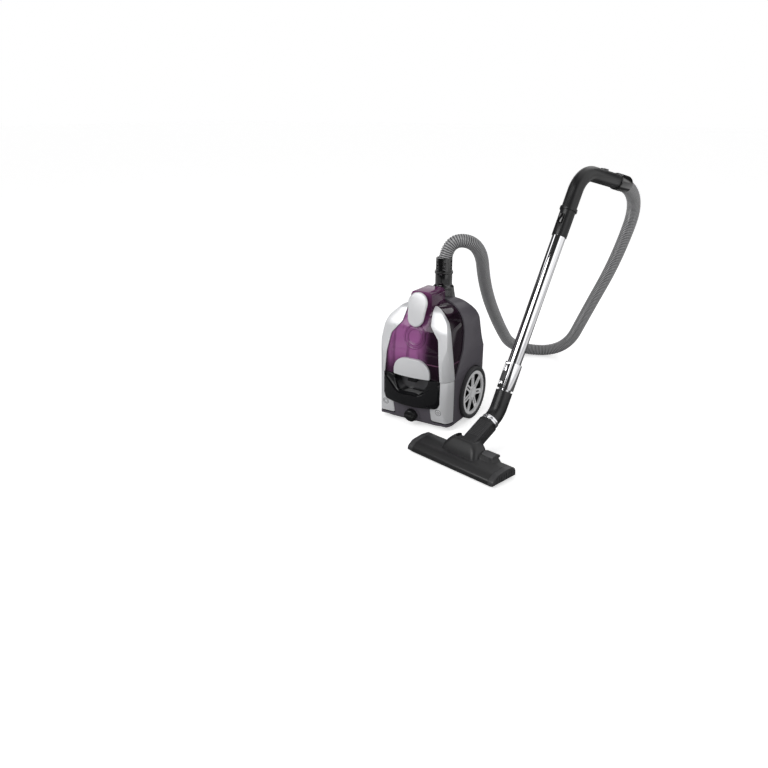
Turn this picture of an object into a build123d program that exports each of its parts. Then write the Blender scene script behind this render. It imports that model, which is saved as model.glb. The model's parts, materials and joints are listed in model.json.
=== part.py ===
# Canister vacuum cleaner with its hose, telescopic wand and floor head.
# Millimetres, +Z up, floor at Z = 0. The front faces -Y, and +X is to the right as the front is faced.
import math
import os

from build123d import *

os.makedirs("parts", exist_ok=True)

# Clearances
fit = 0.4
slide_gap = 0.6
run_gap = 0.06
tube_gap = 0.3
bin_gap = 0.8
over = 40.0

# Canister outline
body_half = 112.0
body_top = 340.0
body_bottom = 14.0
waist_z = 150.0
waist_r = 400.0
crown_in = 24.0
crown_half = body_half - crown_in
shoulder_r = 80.0
plan_front = -90.0
plan_rear = 172.0
front_corner_r = 40.0
rear_corner_r = 60.0
wall = 3.0
side_outline = [
    (-74, 14), (-86, 64), (-85, 205), (-68, 282), (-36, 340),
    (82, 340), (124, 290), (130, 215), (170, 110), (168, 14),
]
side_radii = [0, 60, 120, 90, 40, 45, 60, 150, 100, 0]

# Bin bay
seam_z = 144.0
bay_curve = [(-46, 144), (14, 212), (27, 250), (35, 305), (42, 400)]
bay_radii = [10, 50, 90, 60]
bay_far = 140.0
side_w = 25.0
pocket_half = body_half - side_w
pocket_rear = -6.0
deck_z = 64.0

# Wheels
axle_y = 60.0
axle_z = 75.0
wheel_r = 75.0
rim_r = 63.0
wheel_out = 9.0
wheel_face = body_half + wheel_out
wheel_w = 23.0
well_gap = 2.5
well_depth = 17.0
well_face = body_half - well_depth
axle_r = 6.0
hub_r = 22.0
hub_cap_r = 15.0
boss_r = 12.0
spokes = 7
spoke_w = 15.0
slit_w = 4.0
slit_near = 19.0
slit_far = 45.0

# Lower front
chin_half = 58.0
pedal_lap = 1.0
pedal_side = pocket_half + pedal_lap
pedal_bottom = 25.0
pedal_travel = 4.0
pedal_rear = -50.0
shelf_z = 64.0
corner_round = 22.0
knob_r = 18.0
knob_h = 15.0
knob_shaft_r = 4.0
knob_z = 34.0


def chin_y(z):
    low, high = side_outline[0], side_outline[1]
    return low[0] + (high[0] - low[0]) * (z - low[1]) / (high[1] - low[1])


chin_lean = math.atan2(side_outline[0][0] - side_outline[1][0], side_outline[1][1] - side_outline[0][1])
chin_plane = Plane(
    origin=(0, chin_y(knob_z), knob_z), x_dir=(1, 0, 0), z_dir=(0, -math.cos(chin_lean), -math.sin(chin_lean))
)


# The canister's outer form, inset by a distance all round
def body_form(inset):
    with BuildPart() as form:
        with BuildSketch(Plane.YZ):
            with BuildLine():
                FilletPolyline(*side_outline, radius=side_radii, close=True)
            make_face()
            if inset:
                offset(amount=-inset, kind=Kind.INTERSECTION)
        extrude(amount=body_half + over, both=True)
        with BuildSketch(Plane.XZ):
            with BuildLine():
                FilletPolyline(
                    (-body_half, 0), (body_half, 0), (body_half, waist_z), (crown_half, body_top),
                    (-crown_half, body_top), (-body_half, waist_z),
                    radius=[0, 0, waist_r, shoulder_r, shoulder_r, waist_r], close=True,
                )
            make_face()
            if inset:
                offset(amount=-inset, kind=Kind.INTERSECTION)
        extrude(amount=plan_rear + over, both=True, mode=Mode.INTERSECT)
        with BuildSketch(Plane.XY):
            with BuildLine():
                FilletPolyline(
                    (-body_half + inset, plan_front + inset), (body_half - inset, plan_front + inset),
                    (body_half - inset, plan_rear - inset), (-body_half + inset, plan_rear - inset),
                    radius=[front_corner_r - inset] * 2 + [rear_corner_r - inset] * 2, close=True,
                )
            make_face()
        extrude(amount=body_top + over, mode=Mode.INTERSECT)
    return form.part


# The space in front of the curved bulkhead, inset or grown across its curve
def bay_form(grow):
    with BuildPart() as form:
        with BuildSketch(Plane.YZ):
            with BuildLine():
                FilletPolyline(
                    (-bay_far, seam_z), *bay_curve, (-bay_far, bay_curve[-1][1]),
                    radius=[0] + bay_radii + [0, 0], close=True,
                )
            make_face()
            if grow:
                offset(amount=grow, kind=Kind.INTERSECTION)
        extrude(amount=body_half + over, both=True)
    return form.part


def front_prism(points, radii, y_near, y_far):
    with BuildPart() as prism:
        with BuildSketch(Plane.XZ.offset(-y_near)):
            with BuildLine():
                FilletPolyline(*points, radius=radii, close=True)
            make_face()
        extrude(amount=y_near - y_far)
    return prism.part


skin = body_form(0)
skin_inner = body_form(wall)
bay = bay_form(0)

# Silver foot pedals: the two lower front corners, pressed down against springs
pedal_points = [
    (chin_half + fit, pedal_bottom), (body_half + over, pedal_bottom),
    (body_half + over, seam_z - fit), (pedal_side, seam_z - fit),
    (pedal_side, shelf_z), (chin_half + fit, shelf_z),
]
pedal_cut_points = [
    (chin_half, pedal_bottom - pedal_travel - slide_gap),
    (body_half + over, pedal_bottom - pedal_travel - slide_gap),
    (body_half + over, seam_z), (pedal_side - fit, seam_z),
    (pedal_side - fit, shelf_z + fit), (chin_half, shelf_z + fit),
]
pedal_prism = front_prism(pedal_points, [6, 6, 0, 0, corner_round, 0], pedal_rear, -bay_far)
pedal_cut = front_prism(pedal_cut_points, [6, 6, 0, 0, corner_round, 0], pedal_rear + fit, -bay_far)
stem_w = 16.0
stem_in = 3.0
stem_x = pocket_half - stem_in
stem_y = -70.0
stem_depth = 22.0
stem_top = 60.0
stem_foot = 36.0

with BuildPart() as power_pedal:
    add(skin)
    add(skin_inner, mode=Mode.SUBTRACT)
    add(pedal_prism, mode=Mode.INTERSECT)
    with BuildSketch(Plane.XY.offset(stem_foot)):
        with Locations((stem_x, stem_y)):
            Rectangle(stem_w, stem_depth)
    extrude(amount=stem_top - stem_foot)
    add(skin, mode=Mode.INTERSECT)
power_pedal.part.label = "power_pedal"
export_step(power_pedal.part, "parts/power_pedal.step")

with BuildPart() as rewind_pedal:
    add(mirror(power_pedal.part, about=Plane.YZ))
rewind_pedal.part.label = "rewind_pedal"
export_step(rewind_pedal.part, "parts/rewind_pedal.step")

# Chin panel with the knob's hole
chin_points = [
    (-chin_half + fit, 0), (chin_half - fit, 0),
    (chin_half - fit, deck_z - fit), (-chin_half + fit, deck_z - fit),
]
chin_cut_points = [(-chin_half, 0), (chin_half, 0), (chin_half, deck_z), (-chin_half, deck_z)]
chin_back = -70.0
chin_prism = front_prism(chin_points, [0, 0, 0, 0], chin_back, -bay_far)
chin_cut = front_prism(chin_cut_points, [0, 0, 0, 0], chin_back + fit, -bay_far)
knob_seat_r = 24.0
knob_seat = 1.2

with BuildPart() as chin_panel:
    add(skin)
    add(skin_inner, mode=Mode.SUBTRACT)
    add(chin_prism, mode=Mode.INTERSECT)
    with BuildSketch(chin_plane):
        Circle(knob_seat_r)
    extrude(amount=knob_seat)
    with BuildSketch(chin_plane):
        Circle(knob_shaft_r + run_gap)
    extrude(amount=over, both=True, mode=Mode.SUBTRACT)
chin_panel.part.label = "chin_panel"
export_step(chin_panel.part, "parts/chin_panel.step")

# Suction knob
knob_rear = knob_seat + slide_gap
knob_bar_w = 9.0
knob_bar_h = 5.0
shaft_in = 8.0

with BuildPart() as suction_knob:
    with BuildSketch(chin_plane.offset(knob_rear)):
        Circle(knob_r)
    extrude(amount=knob_h)
    chamfer(suction_knob.edges().filter_by(GeomType.CIRCLE).sort_by(Axis.Y)[0], 2)
    with BuildSketch(chin_plane.offset(knob_rear + knob_h)):
        SlotOverall(2 * knob_r - 8, knob_bar_w)
    extrude(amount=knob_bar_h)
    with BuildSketch(chin_plane.offset(knob_rear)):
        Circle(knob_shaft_r)
    extrude(amount=-knob_rear - shaft_in)
suction_knob.part.label = "suction_knob"
export_step(suction_knob.part, "parts/suction_knob.step")

# Hose inlet: a boss with a tube, and a duct forward to the bulkhead
inlet_y = 84.0
inlet_boss_r = 36.8
inlet_r = 27.0
inlet_bore_r = 24.0
inlet_floor = 288.0
inlet_seat = 327.6
inlet_top = 349.6
duct_half = 24.0
duct_low = 292.0
duct_high = 318.0
duct_wall = 3.0

# Exhaust grille opening in the rear wall
grille_half = 58.0
grille_low = 192.0
grille_high = 264.0
grille_y = 100.0
slots = 7
slot_h = 5.0
outlet_z = 45.0
outlet_r = 11.0
cord_hole_r = 5.0

# Rear housing with the bin bay, wheel wells and deck
with BuildPart() as pocket_space:
    with BuildSketch(Plane.XY.offset(deck_z)):
        with BuildLine():
            FilletPolyline(
                (-pocket_half, -bay_far), (pocket_half, -bay_far),
                (pocket_half, pocket_rear), (-pocket_half, pocket_rear),
                radius=[0, 0, 20, 20], close=True,
            )
        make_face()
    extrude(amount=seam_z - deck_z + wall)
with BuildPart() as pocket_grown:
    with BuildSketch(Plane.XY.offset(deck_z - wall)):
        with BuildLine():
            FilletPolyline(
                (-pocket_half - wall, -bay_far), (pocket_half + wall, -bay_far),
                (pocket_half + wall, pocket_rear + wall), (-pocket_half - wall, pocket_rear + wall),
                radius=[0, 0, 23, 23], close=True,
            )
        make_face()
    extrude(amount=seam_z - deck_z + wall)


def axle_discs(near, far, radius):
    with BuildPart() as discs:
        with BuildSketch(Plane.YZ.offset(near)):
            with Locations((axle_y, axle_z)):
                Circle(radius)
        extrude(amount=far - near)
        with BuildSketch(Plane.YZ.offset(-far)):
            with Locations((axle_y, axle_z)):
                Circle(radius)
        extrude(amount=far - near)
    return discs.part


well_r = wheel_r + well_gap
wells_outer = axle_discs(well_face - wall, body_half + over, well_r + wall)
wells_open = axle_discs(well_face, body_half + over, well_r)
boss_long = 14.0
boss_near = well_face - boss_long
rim_lip = 8.0
rim_lip_rear = side_outline[-1][0] - rim_lip

with BuildPart() as cavity:
    add(skin_inner)
    with BuildSketch(Plane.XY.offset(body_bottom + wall)):
        with BuildLine():
            FilletPolyline(
                (-body_half + rim_lip, chin_back), (body_half - rim_lip, chin_back),
                (body_half - rim_lip, rim_lip_rear), (-body_half + rim_lip, rim_lip_rear),
                radius=[front_corner_r - rim_lip, front_corner_r - rim_lip, rear_corner_r, rear_corner_r],
                close=True,
            )
        make_face()
    extrude(amount=-over)
    add(bay_form(wall), mode=Mode.SUBTRACT)
    add(pocket_grown.part, mode=Mode.SUBTRACT)
    add(wells_outer, mode=Mode.SUBTRACT)

with BuildPart() as rear_housing:
    add(skin)
    add(cavity.part, mode=Mode.SUBTRACT)
    add(bay, mode=Mode.SUBTRACT)
    add(pocket_space.part, mode=Mode.SUBTRACT)
    add(wells_open, mode=Mode.SUBTRACT)
    add(axle_discs(boss_near, well_face - wall, boss_r))
    add(axle_discs(boss_near, well_face, axle_r), mode=Mode.SUBTRACT)
    add(pedal_cut, mode=Mode.SUBTRACT)
    add(mirror(pedal_cut, about=Plane.YZ), mode=Mode.SUBTRACT)
    add(chin_cut, mode=Mode.SUBTRACT)
    with BuildSketch(Plane.XY.offset(inlet_floor)):
        with Locations((0, inlet_y)):
            Circle(inlet_boss_r + fit)
    extrude(amount=over + over, mode=Mode.SUBTRACT)
    with BuildSketch(Plane.XZ.offset(-inlet_y)):
        with Locations((0, (duct_low + duct_high) / 2)):
            Rectangle(2 * (duct_half - duct_wall), duct_high - duct_low - 2 * duct_wall)
    extrude(amount=inlet_y, mode=Mode.SUBTRACT)
    with BuildSketch(Plane.XZ.offset(-grille_y)):
        with Locations((0, (grille_low + grille_high) / 2)):
            RectangleRounded(2 * (grille_half + fit), grille_high - grille_low + 2 * fit, 10)
    extrude(amount=-grille_y, mode=Mode.SUBTRACT)
    with BuildSketch(Plane.XZ.offset(-grille_y)):
        with Locations((0, outlet_z)):
            Circle(outlet_r)
    extrude(amount=-grille_y, mode=Mode.SUBTRACT)
rear_housing.part.label = "rear_housing"
export_step(rear_housing.part, "parts/rear_housing.step")

# Base pan with the caster's recess and four screws
pan_low = 10.0
pan_inset = 4.0
pan_front = -71.0
pan_rear = 164.0
caster_y = -38.0
caster_cup_r = 23.5
caster_cup_top = 33.0
caster_boss_r = 9.0
caster_boss_top = 47.0
caster_stem_r = 5.0
reel_y = 90.0
reel_axle_r = 6.0
reel_axle_top = 70.0
screw_in = 42.0
screw_x = body_half - screw_in
screw_spots = [(-screw_x, -48), (screw_x, -48), (-screw_x, 148), (screw_x, 148)]
screw_r = 3.0
screw_head_r = 5.0
screw_head_h = 2.5
screw_long = 12.0

with BuildPart() as base_pan:
    with BuildSketch(Plane.XY.offset(pan_low)):
        with BuildLine():
            FilletPolyline(
                (-body_half + pan_inset, pan_front), (body_half - pan_inset, pan_front),
                (body_half - pan_inset, pan_rear), (-body_half + pan_inset, pan_rear),
                radius=[front_corner_r, front_corner_r, rear_corner_r, rear_corner_r], close=True,
            )
        make_face()
    extrude(amount=body_bottom - pan_low - fit)
    chamfer(base_pan.edges().group_by(Axis.Z)[0], 2)
    with BuildSketch(Plane.XY):
        with Locations((body_half, axle_y), (-body_half, axle_y)):
            Rectangle(2 * (body_half - well_face + wall + fit), 2 * (well_r + wall))
    extrude(amount=body_bottom, mode=Mode.SUBTRACT)
    with BuildSketch(Plane.XY.offset(pan_low)):
        with Locations((0, caster_y)):
            Circle(caster_cup_r + wall)
    extrude(amount=caster_cup_top + wall - pan_low)
    with BuildSketch(Plane.XY.offset(caster_cup_top)):
        with Locations((0, caster_y)):
            Circle(caster_boss_r)
    extrude(amount=caster_boss_top - caster_cup_top)
    with BuildSketch(Plane.XY):
        with Locations((0, caster_y)):
            Circle(caster_cup_r)
    extrude(amount=caster_cup_top, mode=Mode.SUBTRACT)
    with BuildSketch(Plane.XY):
        with Locations((0, caster_y)):
            Circle(caster_stem_r + run_gap)
    extrude(amount=caster_boss_top - wall, mode=Mode.SUBTRACT)
    with BuildSketch(Plane.XY):
        with Locations((0, reel_y)):
            Circle(reel_axle_r)
        with Locations(*screw_spots):
            Circle(screw_r)
    extrude(amount=body_bottom, mode=Mode.SUBTRACT)
    with BuildSketch(Plane.XY):
        with Locations(*screw_spots):
            Circle(screw_head_r + fit)
    extrude(amount=pan_low + screw_head_h, mode=Mode.SUBTRACT)
base_pan.part.label = "base_pan"
export_step(base_pan.part, "parts/base_pan.step")

with BuildPart() as pan_screws:
    with BuildSketch(Plane.XY.offset(pan_low + fit)):
        with Locations(*screw_spots):
            Circle(screw_head_r)
    extrude(amount=screw_head_h - fit)
    with BuildSketch(Plane.XY.offset(pan_low + fit)):
        with Locations(*screw_spots):
            Circle(screw_r)
    extrude(amount=screw_long)
pan_screws.part.label = "pan_screws"
export_step(pan_screws.part, "parts/pan_screws.step")

# Rear wheels on fixed axle pins
rim_face = wheel_face - 2.0
rim_back = wheel_face - wheel_w + 2.0
rim_ring_r = 54.5
spoke_face = wheel_face - 6.0
spoke_thick = 12.0
spoke_lap = 6.0
tread_round = 6.0
hub_back = well_face + 1.0
pin_end = rim_face - 3.0


def right_wheel_plane(x):
    return Plane(origin=(x, axle_y, axle_z), x_dir=(0, 1, 0), z_dir=(1, 0, 0))


with BuildPart() as tyre_right:
    with BuildSketch(right_wheel_plane(wheel_face - wheel_w)):
        Circle(wheel_r)
        Circle(rim_r, mode=Mode.SUBTRACT)
    extrude(amount=wheel_w)
    fillet(tyre_right.edges().filter_by(GeomType.CIRCLE).sort_by(Axis.Z)[-2:], tread_round)
tyre_right.part.label = "tyre_right"
export_step(tyre_right.part, "parts/tyre_right.step")

with BuildPart() as rim_right:
    with BuildSketch(right_wheel_plane(rim_back)):
        Circle(rim_r)
        Circle(rim_ring_r, mode=Mode.SUBTRACT)
    extrude(amount=rim_face - rim_back)
    with BuildSketch(right_wheel_plane(spoke_face - spoke_thick)):
        with PolarLocations((rim_ring_r + hub_r) / 2, spokes, start_angle=90):
            Rectangle(rim_ring_r - hub_r + spoke_lap, spoke_w)
        Circle(hub_r)
        with PolarLocations((slit_near + slit_far) / 2, spokes, start_angle=90):
            Rectangle(slit_far - slit_near, slit_w, mode=Mode.SUBTRACT)
    extrude(amount=spoke_thick)
    with BuildSketch(right_wheel_plane(hub_back)):
        Circle(hub_cap_r)
    extrude(amount=rim_face - hub_back)
    with BuildSketch(right_wheel_plane(hub_back)):
        Circle(axle_r + run_gap)
    extrude(amount=pin_end + fit - hub_back, mode=Mode.SUBTRACT)
rim_right.part.label = "rim_right"
export_step(rim_right.part, "parts/rim_right.step")

with BuildPart() as axle_pins:
    add(axle_discs(boss_near, pin_end, axle_r))
axle_pins.part.label = "axle_pins"
export_step(axle_pins.part, "parts/axle_pins.step")

with BuildPart() as tyre_left:
    add(mirror(tyre_right.part, about=Plane.YZ))
tyre_left.part.label = "tyre_left"
export_step(tyre_left.part, "parts/tyre_left.step")

with BuildPart() as rim_left:
    add(mirror(rim_right.part, about=Plane.YZ))
rim_left.part.label = "rim_left"
export_step(rim_left.part, "parts/rim_left.step")

# Front caster: a fork that swivels in the pan, and a roller on a cross pin
caster_trail = 5.0
roller_r = 13.0
roller_half = 7.0
cheek = 3.0
cheek_gap = 0.6
fork_low = 8.0
fork_disc_low = 28.0
fork_disc_r = 21.0
fork_disc_top = 32.0
roller_pin_r = 2.5
cheek_half = roller_half + cheek_gap

with BuildPart() as caster_fork:
    with BuildSketch(Plane.XY.offset(fork_disc_low)):
        with Locations((0, caster_y)):
            Circle(fork_disc_r)
    extrude(amount=fork_disc_top - fork_disc_low)
    with BuildSketch(Plane.XY.offset(fork_disc_top)):
        with Locations((0, caster_y)):
            Circle(caster_stem_r)
    extrude(amount=caster_boss_top - wall - fit - fork_disc_top)
    with BuildSketch(Plane.XY.offset(fork_low)):
        for side in (cheek_half + cheek / 2, -cheek_half - cheek / 2):
            with Locations((side, caster_y + caster_trail)):
                Rectangle(cheek, 2 * fork_low)
    extrude(amount=fork_disc_low - fork_low)
    with BuildSketch(Plane.YZ.offset(-cheek_half - cheek)):
        with Locations((caster_y + caster_trail, roller_r)):
            Circle(roller_pin_r)
    extrude(amount=2 * (cheek_half + cheek), mode=Mode.SUBTRACT)
caster_fork.part.label = "caster_fork"
export_step(caster_fork.part, "parts/caster_fork.step")

with BuildPart() as caster_pin:
    with BuildSketch(Plane.YZ.offset(-cheek_half - cheek)):
        with Locations((caster_y + caster_trail, roller_r)):
            Circle(roller_pin_r)
    extrude(amount=2 * (cheek_half + cheek))
caster_pin.part.label = "caster_pin"
export_step(caster_pin.part, "parts/caster_pin.step")

with BuildPart() as caster_roller:
    with BuildSketch(Plane.YZ.offset(-roller_half)):
        with Locations((caster_y + caster_trail, roller_r)):
            Circle(roller_r)
            Circle(roller_pin_r + run_gap, mode=Mode.SUBTRACT)
    extrude(amount=2 * roller_half)
    chamfer(caster_roller.edges().filter_by(GeomType.CIRCLE).sort_by(Axis.Z)[-2:], 2)
caster_roller.part.label = "caster_roller"
export_step(caster_roller.part, "parts/caster_roller.step")

# Motor on its cradle, with two rubber rings and the impeller in front
motor_r = 48.0
motor_z = 140.0
motor_front = 42.0
motor_rear = 122.0
ring_w = 8.0
ring_t = 5.0
ring_front = 48.0
ring_rear = 108.0
cradle_gap = 12.0
cradle_half = well_face - wall - cradle_gap
cradle_wall = 4.0
cradle_plate = 80.0
cradle_front = 40.0
cradle_rear = 124.0
saddle_half = 52.0
saddle_top = 120.0
fan_r = 42.0
fan_front = 22.0
fan_w = 15.0
blades = 9
blade_w = 2.5
shaft_r = 4.0
shaft_in_motor = 12.0
motor_edge = 2.5
motor_wall = 2.5
armature_r = 18.0
vents = 6
vent_w = 16.0
vent_long = 36.0


def motor_plane(y):
    return Plane(origin=(0, y, motor_z), x_dir=(1, 0, 0), z_dir=(0, 1, 0))


with BuildPart() as motor:
    with BuildSketch(motor_plane(motor_front)):
        Circle(motor_r)
    extrude(amount=motor_rear - motor_front)
    chamfer(motor.edges().filter_by(GeomType.CIRCLE), motor_edge)
    with BuildSketch(motor_plane(motor_front + motor_wall)):
        Circle(motor_r - motor_wall)
        Circle(armature_r, mode=Mode.SUBTRACT)
    extrude(amount=motor_rear - motor_front - 2 * motor_wall, mode=Mode.SUBTRACT)
    with BuildSketch(motor_plane((motor_front + motor_rear - vent_long) / 2)):
        with PolarLocations(motor_r, vents):
            Rectangle(vent_w, vent_w)
    extrude(amount=vent_long, mode=Mode.SUBTRACT)
    with BuildSketch(motor_plane(motor_front)):
        Circle(shaft_r + run_gap)
    extrude(amount=shaft_in_motor + fit, mode=Mode.SUBTRACT)
motor.part.label = "motor"
export_step(motor.part, "parts/motor.step")

with BuildPart() as motor_rings:
    with BuildSketch(motor_plane(ring_front)):
        Circle(motor_r + ring_t)
        Circle(motor_r, mode=Mode.SUBTRACT)
    extrude(amount=ring_w)
    with BuildSketch(motor_plane(ring_rear)):
        Circle(motor_r + ring_t)
        Circle(motor_r, mode=Mode.SUBTRACT)
    extrude(amount=ring_w)
motor_rings.part.label = "motor_rings"
export_step(motor_rings.part, "parts/motor_rings.step")

with BuildPart() as motor_cradle:
    with BuildSketch(Plane.XZ.offset(-cradle_rear)):
        with BuildLine():
            Polyline(
                (-cradle_half, body_bottom), (-cradle_half, cradle_plate + cradle_wall),
                (cradle_half, cradle_plate + cradle_wall), (cradle_half, body_bottom),
                (cradle_half - cradle_wall, body_bottom), (cradle_half - cradle_wall, cradle_plate),
                (-cradle_half + cradle_wall, cradle_plate), (-cradle_half + cradle_wall, body_bottom),
                close=True,
            )
        make_face()
    extrude(amount=cradle_rear - cradle_front)
    with BuildSketch(Plane.XY.offset(cradle_plate)):
        with Locations((0, ring_front + ring_w / 2), (0, ring_rear + ring_w / 2)):
            Rectangle(2 * saddle_half, ring_w)
    extrude(amount=saddle_top - cradle_plate)
    with BuildSketch(motor_plane(cradle_front)):
        Circle(motor_r + ring_t)
    extrude(amount=cradle_rear - cradle_front, mode=Mode.SUBTRACT)
motor_cradle.part.label = "motor_cradle"
export_step(motor_cradle.part, "parts/motor_cradle.step")

with BuildPart() as impeller:
    with BuildSketch(motor_plane(fan_front + fan_w - blade_w)):
        Circle(fan_r)
    extrude(amount=blade_w)
    with BuildSketch(motor_plane(fan_front)):
        with PolarLocations((fan_r + shaft_r) / 2, blades):
            Rectangle(fan_r - shaft_r - 2, blade_w, rotation=20)
        Circle(2.5 * shaft_r)
    extrude(amount=fan_w - blade_w)
    with BuildSketch(motor_plane(fan_front)):
        Circle(shaft_r)
    extrude(amount=motor_front + shaft_in_motor - fan_front)
impeller.part.label = "impeller"
export_step(impeller.part, "parts/impeller.step")

# Cord reel on an upright axle, with the cord wound on it
reel_low = 22.0
reel_high = 62.0
flange_t = 2.5
flange_r = 68.0
drum_r = 36.0
cord_pack_r = 60.0

with BuildPart() as reel_axle:
    with BuildSketch(Plane.XY.offset(pan_low)):
        with Locations((0, reel_y)):
            Circle(reel_axle_r)
    extrude(amount=reel_axle_top - pan_low)
reel_axle.part.label = "reel_axle"
export_step(reel_axle.part, "parts/reel_axle.step")

with BuildPart() as cord_reel:
    with BuildSketch(Plane.XY.offset(reel_low), Plane.XY.offset(reel_high - flange_t)):
        with Locations((0, reel_y)):
            Circle(flange_r)
    extrude(amount=flange_t)
    with BuildSketch(Plane.XY.offset(reel_low)):
        with Locations((0, reel_y)):
            Circle(drum_r)
    extrude(amount=reel_high - reel_low)
    with BuildSketch(Plane.XY.offset(reel_low)):
        with Locations((0, reel_y)):
            Circle(reel_axle_r + run_gap)
    extrude(amount=reel_high - reel_low, mode=Mode.SUBTRACT)
cord_reel.part.label = "cord_reel"
export_step(cord_reel.part, "parts/cord_reel.step")

with BuildPart() as wound_cord:
    with BuildSketch(Plane.XY.offset(reel_low + flange_t)):
        with Locations((0, reel_y)):
            Circle(cord_pack_r)
            Circle(drum_r, mode=Mode.SUBTRACT)
    extrude(amount=reel_high - reel_low - 2 * flange_t)
wound_cord.part.label = "wound_cord"
export_step(wound_cord.part, "parts/wound_cord.step")

# Cord outlet bush in the rear wall
outlet_in = 160.0
outlet_out = 171.0
outlet_lip = 4.0

with BuildPart() as cord_outlet:
    with BuildSketch(Plane.XZ.offset(-outlet_in)):
        with Locations((0, outlet_z)):
            Circle(outlet_r)
            Circle(cord_hole_r, mode=Mode.SUBTRACT)
    extrude(amount=-(outlet_out - outlet_in))
cord_outlet.part.label = "cord_outlet"
export_step(cord_outlet.part, "parts/cord_outlet.step")

# Mains switch under the power pedal's stem
switch_in = 18.0
switch_x = pocket_half - switch_in
switch_y = -57.0
switch_w = 16.0
switch_deep = 11.0
switch_low = body_bottom - fit
switch_high = stem_foot - pedal_travel - slide_gap

with BuildPart() as power_switch:
    with BuildSketch(Plane.XY.offset(switch_low)):
        with Locations((switch_x, switch_y)):
            Rectangle(switch_w, switch_deep)
    extrude(amount=switch_high - switch_low)
power_switch.part.label = "power_switch"
export_step(power_switch.part, "parts/power_switch.step")

# Hose inlet elbow
with BuildPart() as inlet_elbow:
    with BuildSketch(Plane.XY.offset(inlet_floor)):
        with Locations((0, inlet_y)):
            Circle(inlet_boss_r)
    extrude(amount=inlet_seat - inlet_floor)
    with BuildSketch(Plane.XY.offset(inlet_seat)):
        with Locations((0, inlet_y)):
            Circle(inlet_r)
    extrude(amount=inlet_top - inlet_seat)
    with BuildSketch(Plane.XY.offset(inlet_floor + duct_wall)):
        with Locations((0, inlet_y)):
            Circle(inlet_bore_r)
    extrude(amount=inlet_top - inlet_floor, mode=Mode.SUBTRACT)
    with BuildSketch(Plane.XZ.offset(-inlet_y)):
        with Locations((0, (duct_low + duct_high) / 2)):
            Rectangle(2 * (duct_half - duct_wall), duct_high - duct_low - 2 * duct_wall)
    extrude(amount=inlet_y, mode=Mode.SUBTRACT)
inlet_elbow.part.label = "inlet_elbow"
export_step(inlet_elbow.part, "parts/inlet_elbow.step")

# Exhaust grille and the filter behind it
filter_half = 52.0
filter_low = 198.0
filter_high = 256.0
filter_front = 107.4
filter_rear = 123.4

with BuildPart() as exhaust_grille:
    add(skin)
    add(skin_inner, mode=Mode.SUBTRACT)
    with BuildSketch(Plane.XZ.offset(-grille_y)):
        with Locations((0, (grille_low + grille_high) / 2)):
            RectangleRounded(2 * grille_half, grille_high - grille_low, 10)
    extrude(amount=-grille_y, mode=Mode.INTERSECT)
    with BuildSketch(Plane.XZ.offset(-grille_y)):
        with GridLocations(0, (grille_high - grille_low) / (slots + 1), 1, slots):
            with Locations((0, (grille_low + grille_high) / 2)):
                SlotOverall(2 * (grille_half - slot_h - slot_h), slot_h)
    extrude(amount=-grille_y, mode=Mode.SUBTRACT)
exhaust_grille.part.label = "exhaust_grille"
export_step(exhaust_grille.part, "parts/exhaust_grille.step")

with BuildPart() as exhaust_filter:
    with BuildSketch(Plane.XZ.offset(-filter_front)):
        with Locations((0, (filter_low + filter_high) / 2)):
            Rectangle(2 * filter_half, filter_high - filter_low)
    extrude(amount=-(filter_rear - filter_front))
exhaust_filter.part.label = "exhaust_filter"
export_step(exhaust_filter.part, "parts/exhaust_filter.step")

# Dust bin: a clear cup between the bulkhead and the silver trims, on a black base
cup_inset = wall + 0.3
cup_wall = 2.5
lid_z = 310.0
lid_front = -28.0
tongue_half = 37.0
trim_rear = -48.0
trim_tip = -30.0
trim_points = [
    (pocket_half - pedal_lap, seam_z + bin_gap), (80, 208), (72, 256), (44, 289), (39, 322),
    (39, 346), (46, 340), (74, 314), (104, 282),
    (body_half + over, 240), (body_half + over, seam_z + bin_gap),
]
trim_radii = [0, 80, 18, 14, 20, 0, 0, 40, 30, 0, 0]
trim_side = [(-bay_far, 0), (trim_rear, 0), (trim_rear, 284), (trim_tip, body_top), (-bay_far, body_top)]
trim_prism = front_prism(trim_points, trim_radii, 0, -bay_far)
cup_outer = body_form(cup_inset)
cup_inner = body_form(cup_inset + cup_wall)

with BuildPart() as bin_space:
    add(cup_outer)
    add(bay_form(-bin_gap), mode=Mode.INTERSECT)
with BuildPart() as bin_hollow:
    add(cup_inner)
    add(bay_form(-bin_gap - cup_wall), mode=Mode.INTERSECT)


# The lid's share of the bin, above its seam and between the trims at the front
def lid_zone(gap):
    with BuildPart() as zone:
        with BuildSketch(Plane.XY.offset(lid_z + gap)):
            with BuildLine():
                Polyline(
                    (-tongue_half + gap, -bay_far), (tongue_half - gap, -bay_far),
                    (tongue_half - gap, lid_front + gap), (body_half + over, lid_front + gap),
                    (body_half + over, plan_rear), (-body_half - over, plan_rear),
                    (-body_half - over, lid_front + gap), (-tongue_half + gap, lid_front + gap), close=True,
                )
            make_face()
        extrude(amount=over + over)
    return zone.part


# Round moulded rings on the cup's front
ring_z = 254.0
ring_spots = (33.0, 24.0)
front_low, front_high = side_outline[2], side_outline[3]
front_lean = math.atan2(front_high[0] - front_low[0], front_high[1] - front_low[1])
ring_y = front_low[0] + (ring_z - front_low[1]) * math.tan(front_lean)
ring_out = (0, -math.cos(front_lean), math.sin(front_lean))
ring_plane = Plane(
    origin=(0, ring_y - cup_inset * ring_out[1], ring_z - cup_inset * ring_out[2]),
    x_dir=(1, 0, 0), z_dir=ring_out,
)
ring_band = 2.5
ring_h = 1.2

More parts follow.
